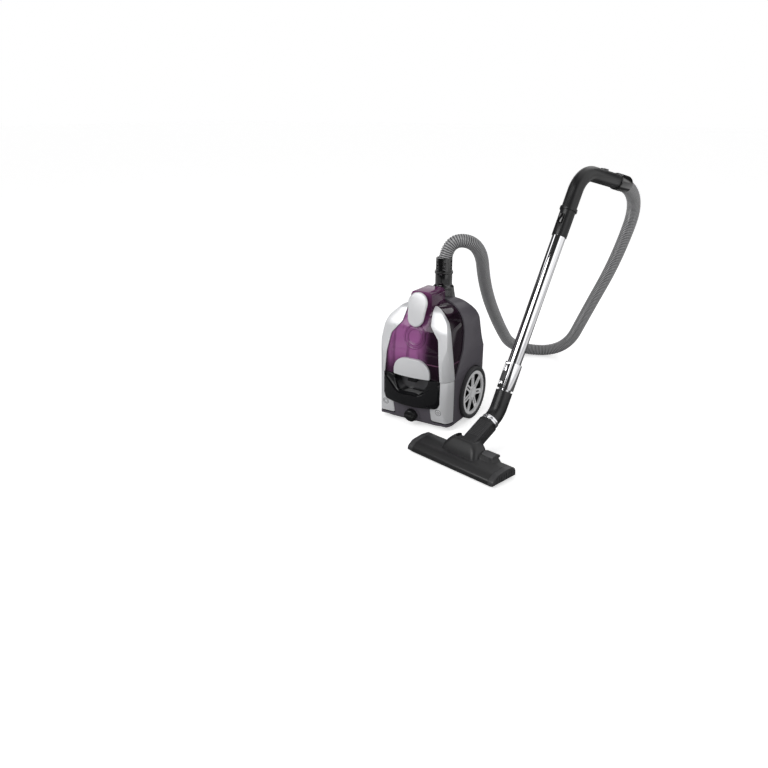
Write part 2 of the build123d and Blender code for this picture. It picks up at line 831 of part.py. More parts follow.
with BuildPart() as bin_cup:
    add(bin_space.part)
    add(bin_hollow.part, mode=Mode.SUBTRACT)
    add(lid_zone(0), mode=Mode.SUBTRACT)
    with BuildSketch(Plane.XZ.offset(-inlet_y)):
        with Locations((0, (duct_low + duct_high) / 2)):
            Rectangle(2 * (duct_half - duct_wall), duct_high - duct_low - 2 * duct_wall)
    extrude(amount=inlet_y, mode=Mode.SUBTRACT)
    with BuildSketch(ring_plane):
        for ring_r in ring_spots:
            Circle(ring_r)
            Circle(ring_r - ring_band, mode=Mode.SUBTRACT)
    extrude(amount=ring_h)
bin_cup.part.label = "bin_cup"
export_step(bin_cup.part, "parts/bin_cup.step")

with BuildPart() as trim_right:
    add(skin)
    add(skin_inner, mode=Mode.SUBTRACT)
    add(trim_prism, mode=Mode.INTERSECT)
    with BuildSketch(Plane.YZ):
        with BuildLine():
            FilletPolyline(*trim_side, radius=[0, 0, 40, 0, 0], close=True)
        make_face()
    extrude(amount=body_half + over, mode=Mode.INTERSECT)
trim_right.part.label = "trim_right"
export_step(trim_right.part, "parts/trim_right.step")

with BuildPart() as trim_left:
    add(mirror(trim_right.part, about=Plane.YZ))
trim_left.part.label = "trim_left"
export_step(trim_left.part, "parts/trim_left.step")

# Lid with its hollow spine and the brackets for the latch pin
spine_half = 32.0
spine_front = -39.0
spine_rear = 34.5
spine_low = 322.0
spine_top = 371.0
spine_round = 13.0
latch_lean = math.atan2(21, 92)
latch_out = (0, -math.cos(latch_lean), math.sin(latch_lean))
latch_up = (0, math.sin(latch_lean), math.cos(latch_lean))
latch_mid = (0, -62.0, 327.0)
latch_t = 8.0
latch_big_r = 29.0
latch_small_r = 24.0
latch_big_at = 17.0
latch_small_at = -22.0
latch_pin_r = 2.0
latch_pin_up = 34.0
latch_pin_in = 8.0
bracket_r = 3.5
lug_r = 4.5
lug_near = 8.0
lug_far = 12.0
ceiling_low = 316.0
ceiling_t = 3.0
shroud_y = -17.0
neck_r = 17.0
shell = 2.0
bracket_near = 13.0
bracket_far = 17.0
latch_plane = Plane(origin=latch_mid, x_dir=(1, 0, 0), z_dir=latch_out)
pin_y = latch_mid[1] + latch_pin_up * latch_up[1] - latch_pin_in * latch_out[1]
pin_z = latch_mid[2] + latch_pin_up * latch_up[2] - latch_pin_in * latch_out[2]
print("latch pin", round(pin_y, 3), round(pin_z, 3), "lean", round(math.degrees(latch_lean), 3))

with BuildPart() as lid_ceiling:
    with BuildSketch(Plane.XY.offset(ceiling_low)):
        Rectangle(4 * body_half, 4 * body_half)
        with Locations((0, shroud_y)):
            Circle(neck_r - shell, mode=Mode.SUBTRACT)
    extrude(amount=ceiling_t)
    add(bin_hollow.part, mode=Mode.INTERSECT)
    add(lid_zone(fit), mode=Mode.INTERSECT)

with BuildPart() as bin_lid:
    add(bin_space.part)
    add(bin_hollow.part, mode=Mode.SUBTRACT)
    add(lid_zone(fit), mode=Mode.INTERSECT)
    with BuildSketch(Plane.XZ.offset(-spine_rear)):
        with BuildLine():
            FilletPolyline(
                (-spine_half, spine_low), (spine_half, spine_low),
                (spine_half, spine_top), (-spine_half, spine_top),
                radius=[0, 0, spine_round, spine_round], close=True,
            )
        make_face()
    extrude(amount=spine_rear - spine_front)
    with BuildSketch(Plane.YZ.offset(bracket_near), Plane.YZ.offset(-bracket_far)):
        with Locations((pin_y, pin_z)):
            Circle(bracket_r)
        with Locations(((pin_y + spine_front) / 2, pin_z)):
            Rectangle(spine_front - pin_y, 2 * bracket_r)
    extrude(amount=bracket_far - bracket_near)
    with BuildSketch(Plane.YZ.offset(-bracket_far)):
        with Locations((pin_y, pin_z)):
            Circle(latch_pin_r)
    extrude(amount=2 * bracket_far, mode=Mode.SUBTRACT)
    with BuildSketch(Plane.XZ.offset(-spine_rear + cup_wall)):
        with BuildLine():
            FilletPolyline(
                (-spine_half + cup_wall, lid_z), (spine_half - cup_wall, lid_z),
                (spine_half - cup_wall, spine_top - cup_wall), (-spine_half + cup_wall, spine_top - cup_wall),
                radius=[0, 0, spine_round - cup_wall, spine_round - cup_wall], close=True,
            )
        make_face()
    extrude(amount=spine_rear - spine_front - 2 * cup_wall, mode=Mode.SUBTRACT)
    add(lid_ceiling.part)
bin_lid.part.label = "bin_lid"
export_step(bin_lid.part, "parts/bin_lid.step")

# Oval latch on its pin
with BuildPart() as lid_latch:
    with BuildSketch(latch_plane.offset(-latch_t / 2)):
        with Locations((0, latch_big_at)):
            Circle(latch_big_r)
        with Locations((0, latch_small_at)):
            Circle(latch_small_r)
        make_hull()
    extrude(amount=latch_t)
    chamfer(lid_latch.faces().sort_by(Axis.Y)[0].edges(), 2.5)
    with BuildSketch(Plane.YZ.offset(lug_near), Plane.YZ.offset(-lug_far)):
        with Locations((pin_y, pin_z)):
            Circle(lug_r)
        with Locations((pin_y + latch_out[1] * lug_r / 2, pin_z + latch_out[2] * lug_r / 2)):
            Rectangle(lug_r, 2 * lug_r, rotation=-math.degrees(latch_lean))
    extrude(amount=lug_far - lug_near)
    with BuildSketch(Plane.YZ.offset(-lug_far)):
        with Locations((pin_y, pin_z)):
            Circle(latch_pin_r + run_gap)
    extrude(amount=2 * lug_far, mode=Mode.SUBTRACT)
lid_latch.part.label = "lid_latch"
export_step(lid_latch.part, "parts/lid_latch.step")

with BuildPart() as latch_pin:
    with BuildSketch(Plane.YZ.offset(-bracket_far)):
        with Locations((pin_y, pin_z)):
            Circle(latch_pin_r)
    extrude(amount=2 * bracket_far)
latch_pin.part.label = "latch_pin"
export_step(latch_pin.part, "parts/latch_pin.step")

# Cyclone cone and mesh shroud, hung from the lid
shroud_r = 28.0
shroud_low = 225.0
shroud_high = 288.0
cone_low = 207.0
cone_tip_r = 17.0

with BuildPart() as mesh_shroud:
    with BuildSketch(Plane.XY.offset(shroud_low)):
        with Locations((0, shroud_y)):
            Circle(shroud_r)
    extrude(amount=shroud_high - shroud_low)
    with BuildSketch(Plane.XY.offset(shroud_high)):
        with Locations((0, shroud_y)):
            Circle(neck_r)
    extrude(amount=ceiling_low - shroud_high)
    with BuildSketch(Plane.XY.offset(shroud_low)):
        with Locations((0, shroud_y)):
            Circle(shroud_r - shell)
    extrude(amount=shroud_high - shroud_low - shell, mode=Mode.SUBTRACT)
    with BuildSketch(Plane.XY.offset(shroud_low)):
        with Locations((0, shroud_y)):
            Circle(neck_r - shell)
    extrude(amount=ceiling_low - shroud_low, mode=Mode.SUBTRACT)
mesh_shroud.part.label = "mesh_shroud"
export_step(mesh_shroud.part, "parts/mesh_shroud.step")

with BuildPart() as cyclone_cone:
    with BuildSketch(Plane.XY.offset(cone_low)):
        with Locations((0, shroud_y)):
            Circle(cone_tip_r)
    with BuildSketch(Plane.XY.offset(shroud_low)):
        with Locations((0, shroud_y)):
            Circle(shroud_r)
    loft()
    with BuildSketch(Plane.XY.offset(cone_low + shell)):
        with Locations((0, shroud_y)):
            Circle(cone_tip_r - shell)
    with BuildSketch(Plane.XY.offset(shroud_low)):
        with Locations((0, shroud_y)):
            Circle(shroud_r - shell)
    loft(mode=Mode.SUBTRACT)
cyclone_cone.part.label = "cyclone_cone"
export_step(cyclone_cone.part, "parts/cyclone_cone.step")

# Silver plate above the grip pocket
plate_half = 56.0
plate_low = 145.2
plate_high = 197.0
plate_round = 40.0
plate_rear = -82.6
plate_front = -94.0
plate_bow_r = 260.0

with BuildPart() as bin_plate:
    with BuildSketch(Plane.XZ.offset(-plate_rear)):
        with BuildLine():
            FilletPolyline(
                (-plate_half, plate_low), (plate_half, plate_low),
                (plate_half, plate_high), (-plate_half, plate_high),
                radius=[3, 3, plate_round, plate_round], close=True,
            )
        make_face()
    extrude(amount=plate_rear - plate_front)
    with BuildSketch(Plane.XY):
        with Locations((0, plate_front + plate_bow_r)):
            Circle(plate_bow_r)
    extrude(amount=body_top, mode=Mode.INTERSECT)
bin_plate.part.label = "bin_plate"
export_step(bin_plate.part, "parts/bin_plate.step")

# Black bin base: a bumper with a swept ledge, and a grip pocket right under the plate
base_half = pocket_half - bin_gap
base_low = deck_z + bin_gap
base_top = seam_z + fit
base_rear = pocket_rear - 1.0
base_side_y = -84.0
base_front_y = -90.5
foot_side_y = -85.0
foot_front_y = -106.0
bumper_side_y = -87.0
bumper_front_y = -110.0
bumper_round = 9.0
base_corner_r = 12.0
base_rear_r = 18.0
ledge_mid = 99.0
ledge_side = 138.0
ledge_half = 34.0
ledge_round = 30.0
base_wall = 3.0
grip_half = 53.0
grip_foot_half = 37.0
grip_shoulder = 136.0
grip_low = 106.0
grip_back = -60.0
grip_round = 12.0
scoop_low = 98.0
scoop_half = 34.0
scoop_front = -98.0
button_half = 13.0
button_h = 12.0
button_z = 136.0
button_travel = 3.0


def base_plan(side_y, front_y, inset):
    with BuildSketch() as plan:
        with BuildLine():
            ThreePointArc(
                (-base_half + inset, side_y + inset), (0, front_y + inset),
                (base_half - inset, side_y + inset),
            )
            FilletPolyline(
                (base_half - inset, side_y + inset), (base_half - inset, base_rear - inset),
                (-base_half + inset, base_rear - inset), (-base_half + inset, side_y + inset),
                radius=[base_rear_r - inset, base_rear_r - inset],
            )
        make_face()
        fillet(plan.vertices().group_by(Axis.Y)[0], base_corner_r - inset)
    return plan.sketch


def grip_prism(grow):
    top = base_top + over
    return front_prism(
        [
            (-grip_half - grow, top), (-grip_half - grow, grip_shoulder),
            (-grip_foot_half - grow, grip_low - grow), (grip_foot_half + grow, grip_low - grow),
            (grip_half + grow, grip_shoulder), (grip_half + grow, top),
        ],
        [0] + [grip_round] * 4 + [0], grip_back + grow, -bay_far,
    )


def scoop_prism(grow):
    return front_prism(
        [
            (-scoop_half - grow, grip_shoulder), (-scoop_half - grow, scoop_low - grow),
            (scoop_half + grow, scoop_low - grow), (scoop_half + grow, grip_shoulder),
        ],
        [0, grip_round, grip_round, 0], grip_back + grow, scoop_front - grow,
    )


above_ledge = front_prism(
    [
        (-base_half - over, ledge_side + over), (-base_half - over, ledge_side), (-base_half, ledge_side),
        (-ledge_half, ledge_mid), (ledge_half, ledge_mid), (base_half, ledge_side),
        (base_half + over, ledge_side), (base_half + over, ledge_side + over),
    ],
    [0, 0, 0, ledge_round, ledge_round, 0, 0, 0], over, -bay_far,
)



# The base's front outline with its round lower corners
def corner_prism(inset):
    half, top = base_half - inset, base_top + over
    low = base_low + inset
    return front_prism(
        [(-half, low), (half, low), (half, top), (-half, top)],
        [corner_round - inset, corner_round - inset, 0, 0], over, -bay_far,
    )


with BuildPart() as base_hollow:
    with BuildSketch(Plane.XY.offset(base_low + base_wall + base_wall)):
        add(base_plan(base_side_y, base_front_y, base_wall))
    extrude(amount=base_top)
    add(corner_prism(base_wall), mode=Mode.INTERSECT)
    add(grip_prism(base_wall), mode=Mode.SUBTRACT)
    add(scoop_prism(base_wall), mode=Mode.SUBTRACT)

with BuildPart() as base_upper:
    with BuildSketch(Plane.XY.offset(base_low + bumper_round)):
        add(base_plan(foot_side_y, foot_front_y, 0))
    with BuildSketch(Plane.XY.offset(base_top)):
        add(base_plan(base_side_y, base_front_y, 0))
    loft(ruled=True)

with BuildPart() as bin_base:
    with BuildSketch(Plane.XY.offset(base_low)):
        add(base_plan(bumper_side_y, bumper_front_y, 0))
    extrude(amount=ledge_side - base_low)
    fillet(bin_base.edges().group_by(Axis.Z)[0], bumper_round)
    add(above_ledge, mode=Mode.SUBTRACT)
    add(base_upper.part)
    add(corner_prism(0), mode=Mode.INTERSECT)
    add(base_hollow.part, mode=Mode.SUBTRACT)
    add(grip_prism(0), mode=Mode.SUBTRACT)
    add(scoop_prism(0), mode=Mode.SUBTRACT)
    with BuildSketch(Plane.XZ.offset(-grip_back)):
        with Locations((0, button_z)):
            Rectangle(2 * (button_half + fit), button_h + 2 * fit)
    extrude(amount=-2 * base_wall, mode=Mode.SUBTRACT)
bin_base.part.label = "bin_base"
export_step(bin_base.part, "parts/bin_base.step")
print("bin base solids", len(bin_base.part.solids()), bin_base.part.is_valid)

# Release button, from the pocket's back wall to just behind the plate's lower edge
button_out = 25.0
button_in = 8.0
button_flange = 2.0

with BuildPart() as release_button:
    with BuildSketch(Plane.XZ.offset(-grip_back + button_out)):
        with Locations((0, button_z)):
            Rectangle(2 * button_half, button_h)
    extrude(amount=-button_out - button_in)
    fillet(release_button.faces().sort_by(Axis.Y)[0].edges(), 1.2)
    with BuildSketch(Plane.XZ.offset(-grip_back - base_wall - fit)):
        with Locations((0, button_z)):
            Rectangle(2 * (button_half + button_flange), button_h + 2 * button_flange)
    extrude(amount=-button_flange)
release_button.part.label = "release_button"
export_step(release_button.part, "parts/release_button.step")

# Hose connector on the inlet, and the swivelling cuff above it
skirt_foot_r = 34.0
skirt_low = inlet_seat + fit
step_r = 29.0
step_z = 361.0
neck_out_r = 23.5
neck_z = 367.0
connector_top = 397.5
connector_bore_r = 20.4
cuff_ring_r = 25.5
cuff_ring_low = 398.2
cuff_ring_high = 405.0
cuff_r = 22.5
cuff_top = 441.0
hose_r = 19.0
cuff_bore_r = hose_r + 0.5
spigot_r = 20.0
spigot_bore_r = 16.5
spigot_low = 380.0
cuff_floor = 400.0
window_rows = (412.0, 421.5, 431.0)
window_h = 5.5
windows = 6
window_w = 8.0

inlet_axis = Axis((0, inlet_y, 0), (0, 0, 1))
inlet_plane = Plane(origin=(0, inlet_y, 0), x_dir=(1, 0, 0), z_dir=(0, -1, 0))

with BuildPart() as hose_connector:
    with BuildSketch(inlet_plane):
        with BuildLine():
            Polyline(
                (inlet_r + fit, skirt_low), (skirt_foot_r, skirt_low), (step_r, step_z - 4), (step_r, step_z),
                (neck_out_r, neck_z), (neck_out_r, connector_top), (connector_bore_r, connector_top),
                (connector_bore_r, inlet_top + fit), (inlet_r + fit, inlet_top + fit), close=True,
            )
        make_face()
    revolve(axis=inlet_axis)
hose_connector.part.label = "hose_connector"
export_step(hose_connector.part, "parts/hose_connector.step")

with BuildPart() as hose_cuff:
    with BuildSketch(inlet_plane):
        with BuildLine():
            Polyline(
                (spigot_bore_r, spigot_low), (spigot_r, spigot_low), (spigot_r, cuff_ring_low),
                (cuff_ring_r, cuff_ring_low), (cuff_ring_r, cuff_ring_high), (cuff_r, cuff_ring_high),
                (cuff_r, cuff_top), (cuff_bore_r, cuff_top), (cuff_bore_r, cuff_floor),
                (spigot_bore_r, cuff_floor), close=True,
            )
        make_face()
    revolve(axis=inlet_axis)
    for row in window_rows:
        with BuildSketch(Plane.XY.offset(row - window_h / 2)):
            with Locations((0, inlet_y)):
                with PolarLocations(cuff_r, windows):
                    Rectangle(window_w, window_w)
        extrude(amount=window_h, mode=Mode.SUBTRACT)
hose_cuff.part.label = "hose_cuff"
export_step(hose_cuff.part, "parts/hose_cuff.step")

# Floor head's frame: l along its length, s towards its back, z up
head_x = 219.0
head_y = -220.0
head_turn = math.radians(-13.9)
head_right = (math.cos(head_turn), math.sin(head_turn), 0)
head_back = (-math.sin(head_turn), math.cos(head_turn), 0)


def head_point(along, back, up):
    return (
        head_x + along * head_right[0] + back * head_back[0],
        head_y + along * head_right[1] + back * head_back[1],
        up,
    )


def head_level(up):
    return Plane(origin=head_point(0, 0, up), x_dir=head_right, z_dir=(0, 0, 1))


def head_cross(along):
    return Plane(origin=head_point(along, 0, 0), x_dir=head_back, z_dir=head_right)


# Neck and wand lines in the head's middle plane
pivot_s = 30.0
pivot_z = 38.0
neck_rise = math.radians(27)
wand_rise = math.radians(63)
elbow_at = 122.0
elbow_s = pivot_s + elbow_at * math.cos(neck_rise)
elbow_z = pivot_z + elbow_at * math.sin(neck_rise)
neck_dir = (head_back[0] * math.cos(neck_rise), head_back[1] * math.cos(neck_rise), math.sin(neck_rise))
wand_dir = (head_back[0] * math.cos(wand_rise), head_back[1] * math.cos(wand_rise), math.sin(wand_rise))


def neck_point(along):
    return head_point(0, pivot_s + along * math.cos(neck_rise), pivot_z + along * math.sin(neck_rise))


def neck_plane(along):
    return Plane(origin=neck_point(along), x_dir=head_right, z_dir=neck_dir)


def wand_point(along):
    return head_point(0, elbow_s + along * math.cos(wand_rise), elbow_z + along * math.sin(wand_rise))


def wand_plane(along):
    return Plane(origin=wand_point(along), x_dir=head_right, z_dir=wand_dir)


def swept(points, radii, plane, radius):
    with BuildPart() as made:
        with BuildLine() as line:
            FilletPolyline(*points, radius=radii)
        with BuildSketch(plane):
            Circle(radius)
        sweep(path=line.line)
    return made.part


# Floor head
head_half = 122.0
cap_w = 15.0
shell_low = 7.0
head_section = [(-44, shell_low), (-43, 17), (-26, 29), (10, 33), (38, 30), (44, 18), (44, shell_low)]
head_section_radii = [0, 8, 24, 60, 12, 6, 0]
head_wall = 3.0
drum_r = 21.0
drum_half = 30.0
drum_gap = 0.8
slot_half = 31.0
slot_front = 16.0
slot_floor = 12.0
hood_levels = (24.0, 46.0, 63.0)
hood_halves = (58.0, 51.0, 36.0)
hood_fronts = (-14.0, -5.0, 9.0)
hood_rear = 43.0
hood_corner = 14.0
hood_edge = 7.0
wing_levels = (24.0, 41.0)
wing_spans = ((40.0, 102.0), (44.0, 86.0))
wing_fronts = (-4.0, 12.0)
wing_corner = 10.0
trunnion_r = 4.0
trunnion_half = 40.0
pedal_near = 54.0
pedal_far = 88.0
pedal_front_s = 15.0
pedal_rear_s = 47.0
rocker_low = 32.0
rocker_high = 45.0
rocker_floor = 26.0
rocker_pin_r = 2.5
rocker_pin_in = 10.0
rocker_s = (pedal_front_s + pedal_rear_s) / 2
rocker_z = 33.0

with BuildPart() as head_inside:
    with BuildSketch(head_cross(-head_half)):
        with BuildLine():
            FilletPolyline(*head_section, radius=head_section_radii, close=True)
        make_face()
        offset(amount=-head_wall, kind=Kind.INTERSECTION)
    extrude(amount=2 * head_half)
    with BuildSketch(head_level(0)):
        Rectangle(2 * head_half, 2 * (head_section[-1][0] - head_wall))
    extrude(amount=shell_low + head_wall)

with BuildPart() as hood:
    for level, half, front in zip(hood_levels, hood_halves, hood_fronts):
        with BuildSketch(head_level(level)):
            with Locations((0, (front + hood_rear) / 2)):
                RectangleRounded(2 * half, hood_rear - front, hood_corner)
    loft()
    fillet(hood.faces().sort_by(Axis.Z)[-1].edges(), hood_edge)

with BuildPart() as wing:
    for level, span, front in zip(wing_levels, wing_spans, wing_fronts):
        with BuildSketch(head_level(level)):
            with Locations(((span[0] + span[1]) / 2, (front + hood_rear) / 2)):
                RectangleRounded(span[1] - span[0], hood_rear - front, wing_corner)
    loft()

with BuildPart() as head_shell:
    with BuildSketch(head_cross(-head_half)):
        with BuildLine():
            FilletPolyline(*head_section, radius=head_section_radii, close=True)
        make_face()
    extrude(amount=2 * head_half)
    add(hood.part)
    add(wing.part)
    add(head_inside.part, mode=Mode.SUBTRACT)
    with BuildSketch(head_level(slot_floor)):
        with Locations((0, slot_front + over)):
            Rectangle(2 * slot_half, 2 * over)
    extrude(amount=hood_levels[-1] + over, mode=Mode.SUBTRACT)
    with BuildSketch(head_cross(-slot_half)):
        with Locations((pivot_s, pivot_z)):
            Circle(drum_r + drum_gap)
    extrude(amount=2 * slot_half, mode=Mode.SUBTRACT)
    with BuildSketch(head_cross(-hood_halves[0])):
        with Locations((pivot_s, pivot_z)):
            Circle(trunnion_r + run_gap)
    extrude(amount=2 * hood_halves[0], mode=Mode.SUBTRACT)
    with BuildSketch(head_cross(pedal_near - rocker_pin_in - fit)):
        with Locations((rocker_s, rocker_z)):
            Circle(rocker_pin_r + run_gap)
    extrude(amount=rocker_pin_in + fit, mode=Mode.SUBTRACT)
    with BuildSketch(head_level(rocker_floor)):
        with Locations(((pedal_near + pedal_far) / 2, (pedal_front_s + pedal_rear_s) / 2)):
            Rectangle(pedal_far - pedal_near + 2 * slide_gap, pedal_rear_s - pedal_front_s + 2)
    extrude(amount=over, mode=Mode.SUBTRACT)
head_shell.part.label = "head_shell"
export_step(head_shell.part, "parts/head_shell.step")
print("head shell solids", len(head_shell.part.solids()))

# End caps with their ribs
rib_w = 2.0
rib_step = 9.0
rib_deep = 1.5

with BuildPart() as end_caps:
    for side in (head_half + fit, -head_half - fit - cap_w):
        with BuildSketch(head_cross(side)):
            with BuildLine():
                FilletPolyline(*head_section, radius=head_section_radii, close=True)
            make_face()
        extrude(amount=cap_w)
    for side in (head_half + fit + cap_w - rib_deep, -head_half - fit - cap_w):
        with BuildSketch(head_cross(side)):
            with GridLocations(rib_step, 0, 7, 1):
                with Locations((0, shell_low + 9)):
                    Rectangle(rib_w, 16)
        extrude(amount=rib_deep, mode=Mode.SUBTRACT)
end_caps.part.label = "end_caps"
export_step(end_caps.part, "parts/end_caps.step")

# Sole plate with runners, mouth, brush slots and roller brackets
sole_low = 3.0
sole_half_l = 132.0
sole_half_s = 40.0
mouth_half = 100.0
mouth_wide = 20.0
runner_w = 5.0
runner_s = -33.0
brush_half = 104.0
brush_w = 4.0
brush_front_s = -20.0
brush_rear_s = 15.0
roller_l = 70.0
roller_s = 30.0
head_roller_r = 9.0
head_roller_w = 10.0
roller_axle_r = 2.0
bracket_t = 2.5
bracket_high = 15.0
bracket_off = head_roller_w / 2 + slide_gap + bracket_t / 2

with BuildPart() as sole_plate:
    with BuildSketch(head_level(sole_low)):
        RectangleRounded(2 * sole_half_l, 2 * sole_half_s, 5)
        with Locations((0, -2.5)):
            RectangleRounded(2 * mouth_half, mouth_wide, 6, mode=Mode.SUBTRACT)
        with Locations((0, brush_front_s), (0, brush_rear_s)):
            Rectangle(2 * (brush_half + slide_gap), brush_w + 2 * slide_gap, mode=Mode.SUBTRACT)
        with Locations((roller_l, roller_s), (-roller_l, roller_s)):
            Rectangle(head_roller_w + 2 * slide_gap, 2 * head_roller_r + 1, mode=Mode.SUBTRACT)
    extrude(amount=shell_low - sole_low - 0.1)
    with BuildSketch(head_level(0)):
        with Locations((0, runner_s)):
            RectangleRounded(2 * mouth_half, runner_w, 2)
    extrude(amount=sole_low)
    with BuildSketch(head_level(sole_low)):
        for side in (roller_l, -roller_l):
            for off in (bracket_off, -bracket_off):
                with Locations((side + off, roller_s)):
                    Rectangle(bracket_t, 10)
    extrude(amount=bracket_high - sole_low)
    with BuildSketch(head_cross(-sole_half_l)):
        with Locations((roller_s, head_roller_r)):
            Circle(roller_axle_r + run_gap)
    extrude(amount=2 * sole_half_l, mode=Mode.SUBTRACT)
sole_plate.part.label = "sole_plate"
export_step(sole_plate.part, "parts/sole_plate.step")

axle_half = roller_l + head_roller_w / 2 + slide_gap + bracket_t

with BuildPart() as head_rollers:
    for side in (roller_l - head_roller_w / 2, -roller_l - head_roller_w / 2):
        with BuildSketch(head_cross(side)):
            with Locations((roller_s, head_roller_r)):
                Circle(head_roller_r)
        extrude(amount=head_roller_w)
    with BuildSketch(head_cross(-axle_half)):
        with Locations((roller_s, head_roller_r)):
            Circle(roller_axle_r)
    extrude(amount=2 * axle_half)
head_rollers.part.label = "head_rollers"
export_step(head_rollers.part, "parts/head_rollers.step")

# Brush strips, lowered by the rocker
brush_low = 3.2
brush_mid_s = (brush_front_s + brush_rear_s) / 2
bar_low = 13.0
bar_high = 17.0

with BuildPart() as brush_strips:
    with BuildSketch(head_level(brush_low)):
        with Locations((0, brush_front_s), (0, brush_rear_s)):
            Rectangle(2 * brush_half, brush_w)
    extrude(amount=bar_high - brush_low)
    with BuildSketch(head_level(bar_low)):
        with Locations((brush_half - 10, brush_mid_s), (-brush_half + 10, brush_mid_s)):
            Rectangle(8, brush_rear_s - brush_front_s)
    extrude(amount=bar_high - bar_low)
brush_strips.part.label = "brush_strips"
export_step(brush_strips.part, "parts/brush_strips.step")

# Foot rocker
with BuildPart() as foot_rocker:
    with BuildSketch(head_cross(pedal_near)):
        with BuildLine():
            FilletPolyline(
                (pedal_front_s, rocker_low + 4), (pedal_front_s + 2, rocker_high - 2),
                ((pedal_front_s + pedal_rear_s) / 2, rocker_high + 3),
                (pedal_rear_s - 1, rocker_high - 4), (pedal_rear_s, rocker_low + 4),
                ((pedal_front_s + pedal_rear_s) / 2, rocker_low),
                radius=[0, 3, 18, 3, 0, 0], close=True,
            )
        make_face()
    extrude(amount=pedal_far - pedal_near)
    with BuildSketch(head_cross(pedal_near - rocker_pin_in)):
        with Locations((rocker_s, rocker_z)):
            Circle(rocker_pin_r)
    extrude(amount=rocker_pin_in)
foot_rocker.part.label = "foot_rocker"
export_step(foot_rocker.part, "parts/foot_rocker.step")

# Knuckle with its two trunnions
knuckle_half = 21.0
knuckle_deep = 19.0
knuckle_corner = 7.0
knuckle_end = 86.0
air_r = 16.0
spigot_fit = 0.4
spigot_start = 62.0

with BuildPart() as knuckle:
    with BuildSketch(head_cross(-drum_half)):
        with Locations((pivot_s, pivot_z)):
            Circle(drum_r)
    extrude(amount=2 * drum_half)
    with BuildSketch(head_cross(-trunnion_half)):
        with Locations((pivot_s, pivot_z)):
            Circle(trunnion_r)
    extrude(amount=2 * trunnion_half)
    with BuildSketch(neck_plane(0)):
        RectangleRounded(2 * knuckle_half, 2 * knuckle_deep, knuckle_corner)
    extrude(amount=knuckle_end)
    with BuildSketch(neck_plane(0)):
        Circle(air_r)
    extrude(amount=knuckle_end, mode=Mode.SUBTRACT)
    with BuildSketch(head_level(0)):
        with Locations((0, pivot_s)):
            Rectangle(2 * air_r, 2 * air_r)
    extrude(amount=pivot_z, mode=Mode.SUBTRACT)
knuckle.part.label = "knuckle"
export_step(knuckle.part, "parts/knuckle.step")

# Bent neck with its swivel spigot, and the bright swivel ring
swivel_gap = 0.5
ring_start = knuckle_end + swivel_gap
ring_end = 98.0
swivel_r = 23.5
swivel_groove = 1.5
groove_start = 91.0
groove_end = 92.5
neck_r_out = 21.5
inner_r = 16.2
inner_wall = 1.0
neck_bore = inner_r + 0.05
neck_top = 62.0
elbow_r = 64.0
web = 2.5
neck_line = [neck_point(ring_end), neck_point(elbow_at), wand_point(neck_top)]
bore_line = [neck_point(ring_end + web), neck_point(elbow_at), wand_point(neck_top)]

with BuildPart() as neck:
    add(swept(neck_line, [elbow_r], neck_plane(ring_end), neck_r_out))
    with BuildSketch(neck_plane(spigot_start)):
        Circle(air_r - spigot_fit)
    extrude(amount=ring_end - spigot_start)
    with BuildSketch(neck_plane(spigot_start)):
        Circle(air_r - spigot_fit - 2)
    extrude(amount=ring_end + web - spigot_start, mode=Mode.SUBTRACT)
    add(swept(bore_line, [elbow_r - web], neck_plane(ring_end + web), neck_bore), mode=Mode.SUBTRACT)
neck.part.label = "neck"
export_step(neck.part, "parts/neck.step")
print("neck solids", len(neck.part.solids()), neck.part.is_valid)

with BuildPart() as swivel_ring:
    with BuildSketch(neck_plane(ring_start)):
        Circle(swivel_r)
        Circle(air_r - spigot_fit, mode=Mode.SUBTRACT)
    extrude(amount=ring_end - ring_start)
    with BuildSketch(neck_plane(groove_start)):
        Circle(swivel_r)
        Circle(swivel_r - swivel_groove, mode=Mode.SUBTRACT)
    extrude(amount=groove_end - groove_start, mode=Mode.SUBTRACT)
swivel_ring.part.label = "swivel_ring"
export_step(swivel_ring.part, "parts/swivel_ring.step")

# Telescopic tubes
outer_r = 17.5
outer_wall = 0.9
outer_start = 72.0
outer_end = 492.0
inner_start = 44.0
inner_end = 440.0

with BuildPart() as inner_tube:
    with BuildSketch(wand_plane(inner_start)):
        Circle(inner_r)
        Circle(inner_r - inner_wall, mode=Mode.SUBTRACT)
    extrude(amount=inner_end - inner_start)
inner_tube.part.label = "inner_tube"
export_step(inner_tube.part, "parts/inner_tube.step")

with BuildPart() as outer_tube:
    with BuildSketch(wand_plane(outer_start)):
        Circle(outer_r)
        Circle(outer_r - outer_wall, mode=Mode.SUBTRACT)
    extrude(amount=outer_end - outer_start)
outer_tube.part.label = "outer_tube"
export_step(outer_tube.part, "parts/outer_tube.step")

# Slider collar with its lock button
collar_start = 67.0
collar_end = 136.0
collar_r = 21.5
rail_w = 18.0
rail_r = 26.0
track_w = 13.0
track_start = 78.0
track_end = 130.0
track_floor = 20.5
lock_start = 84.0
lock_end = 112.0
lock_travel = 12.0
lock_r = 29.0

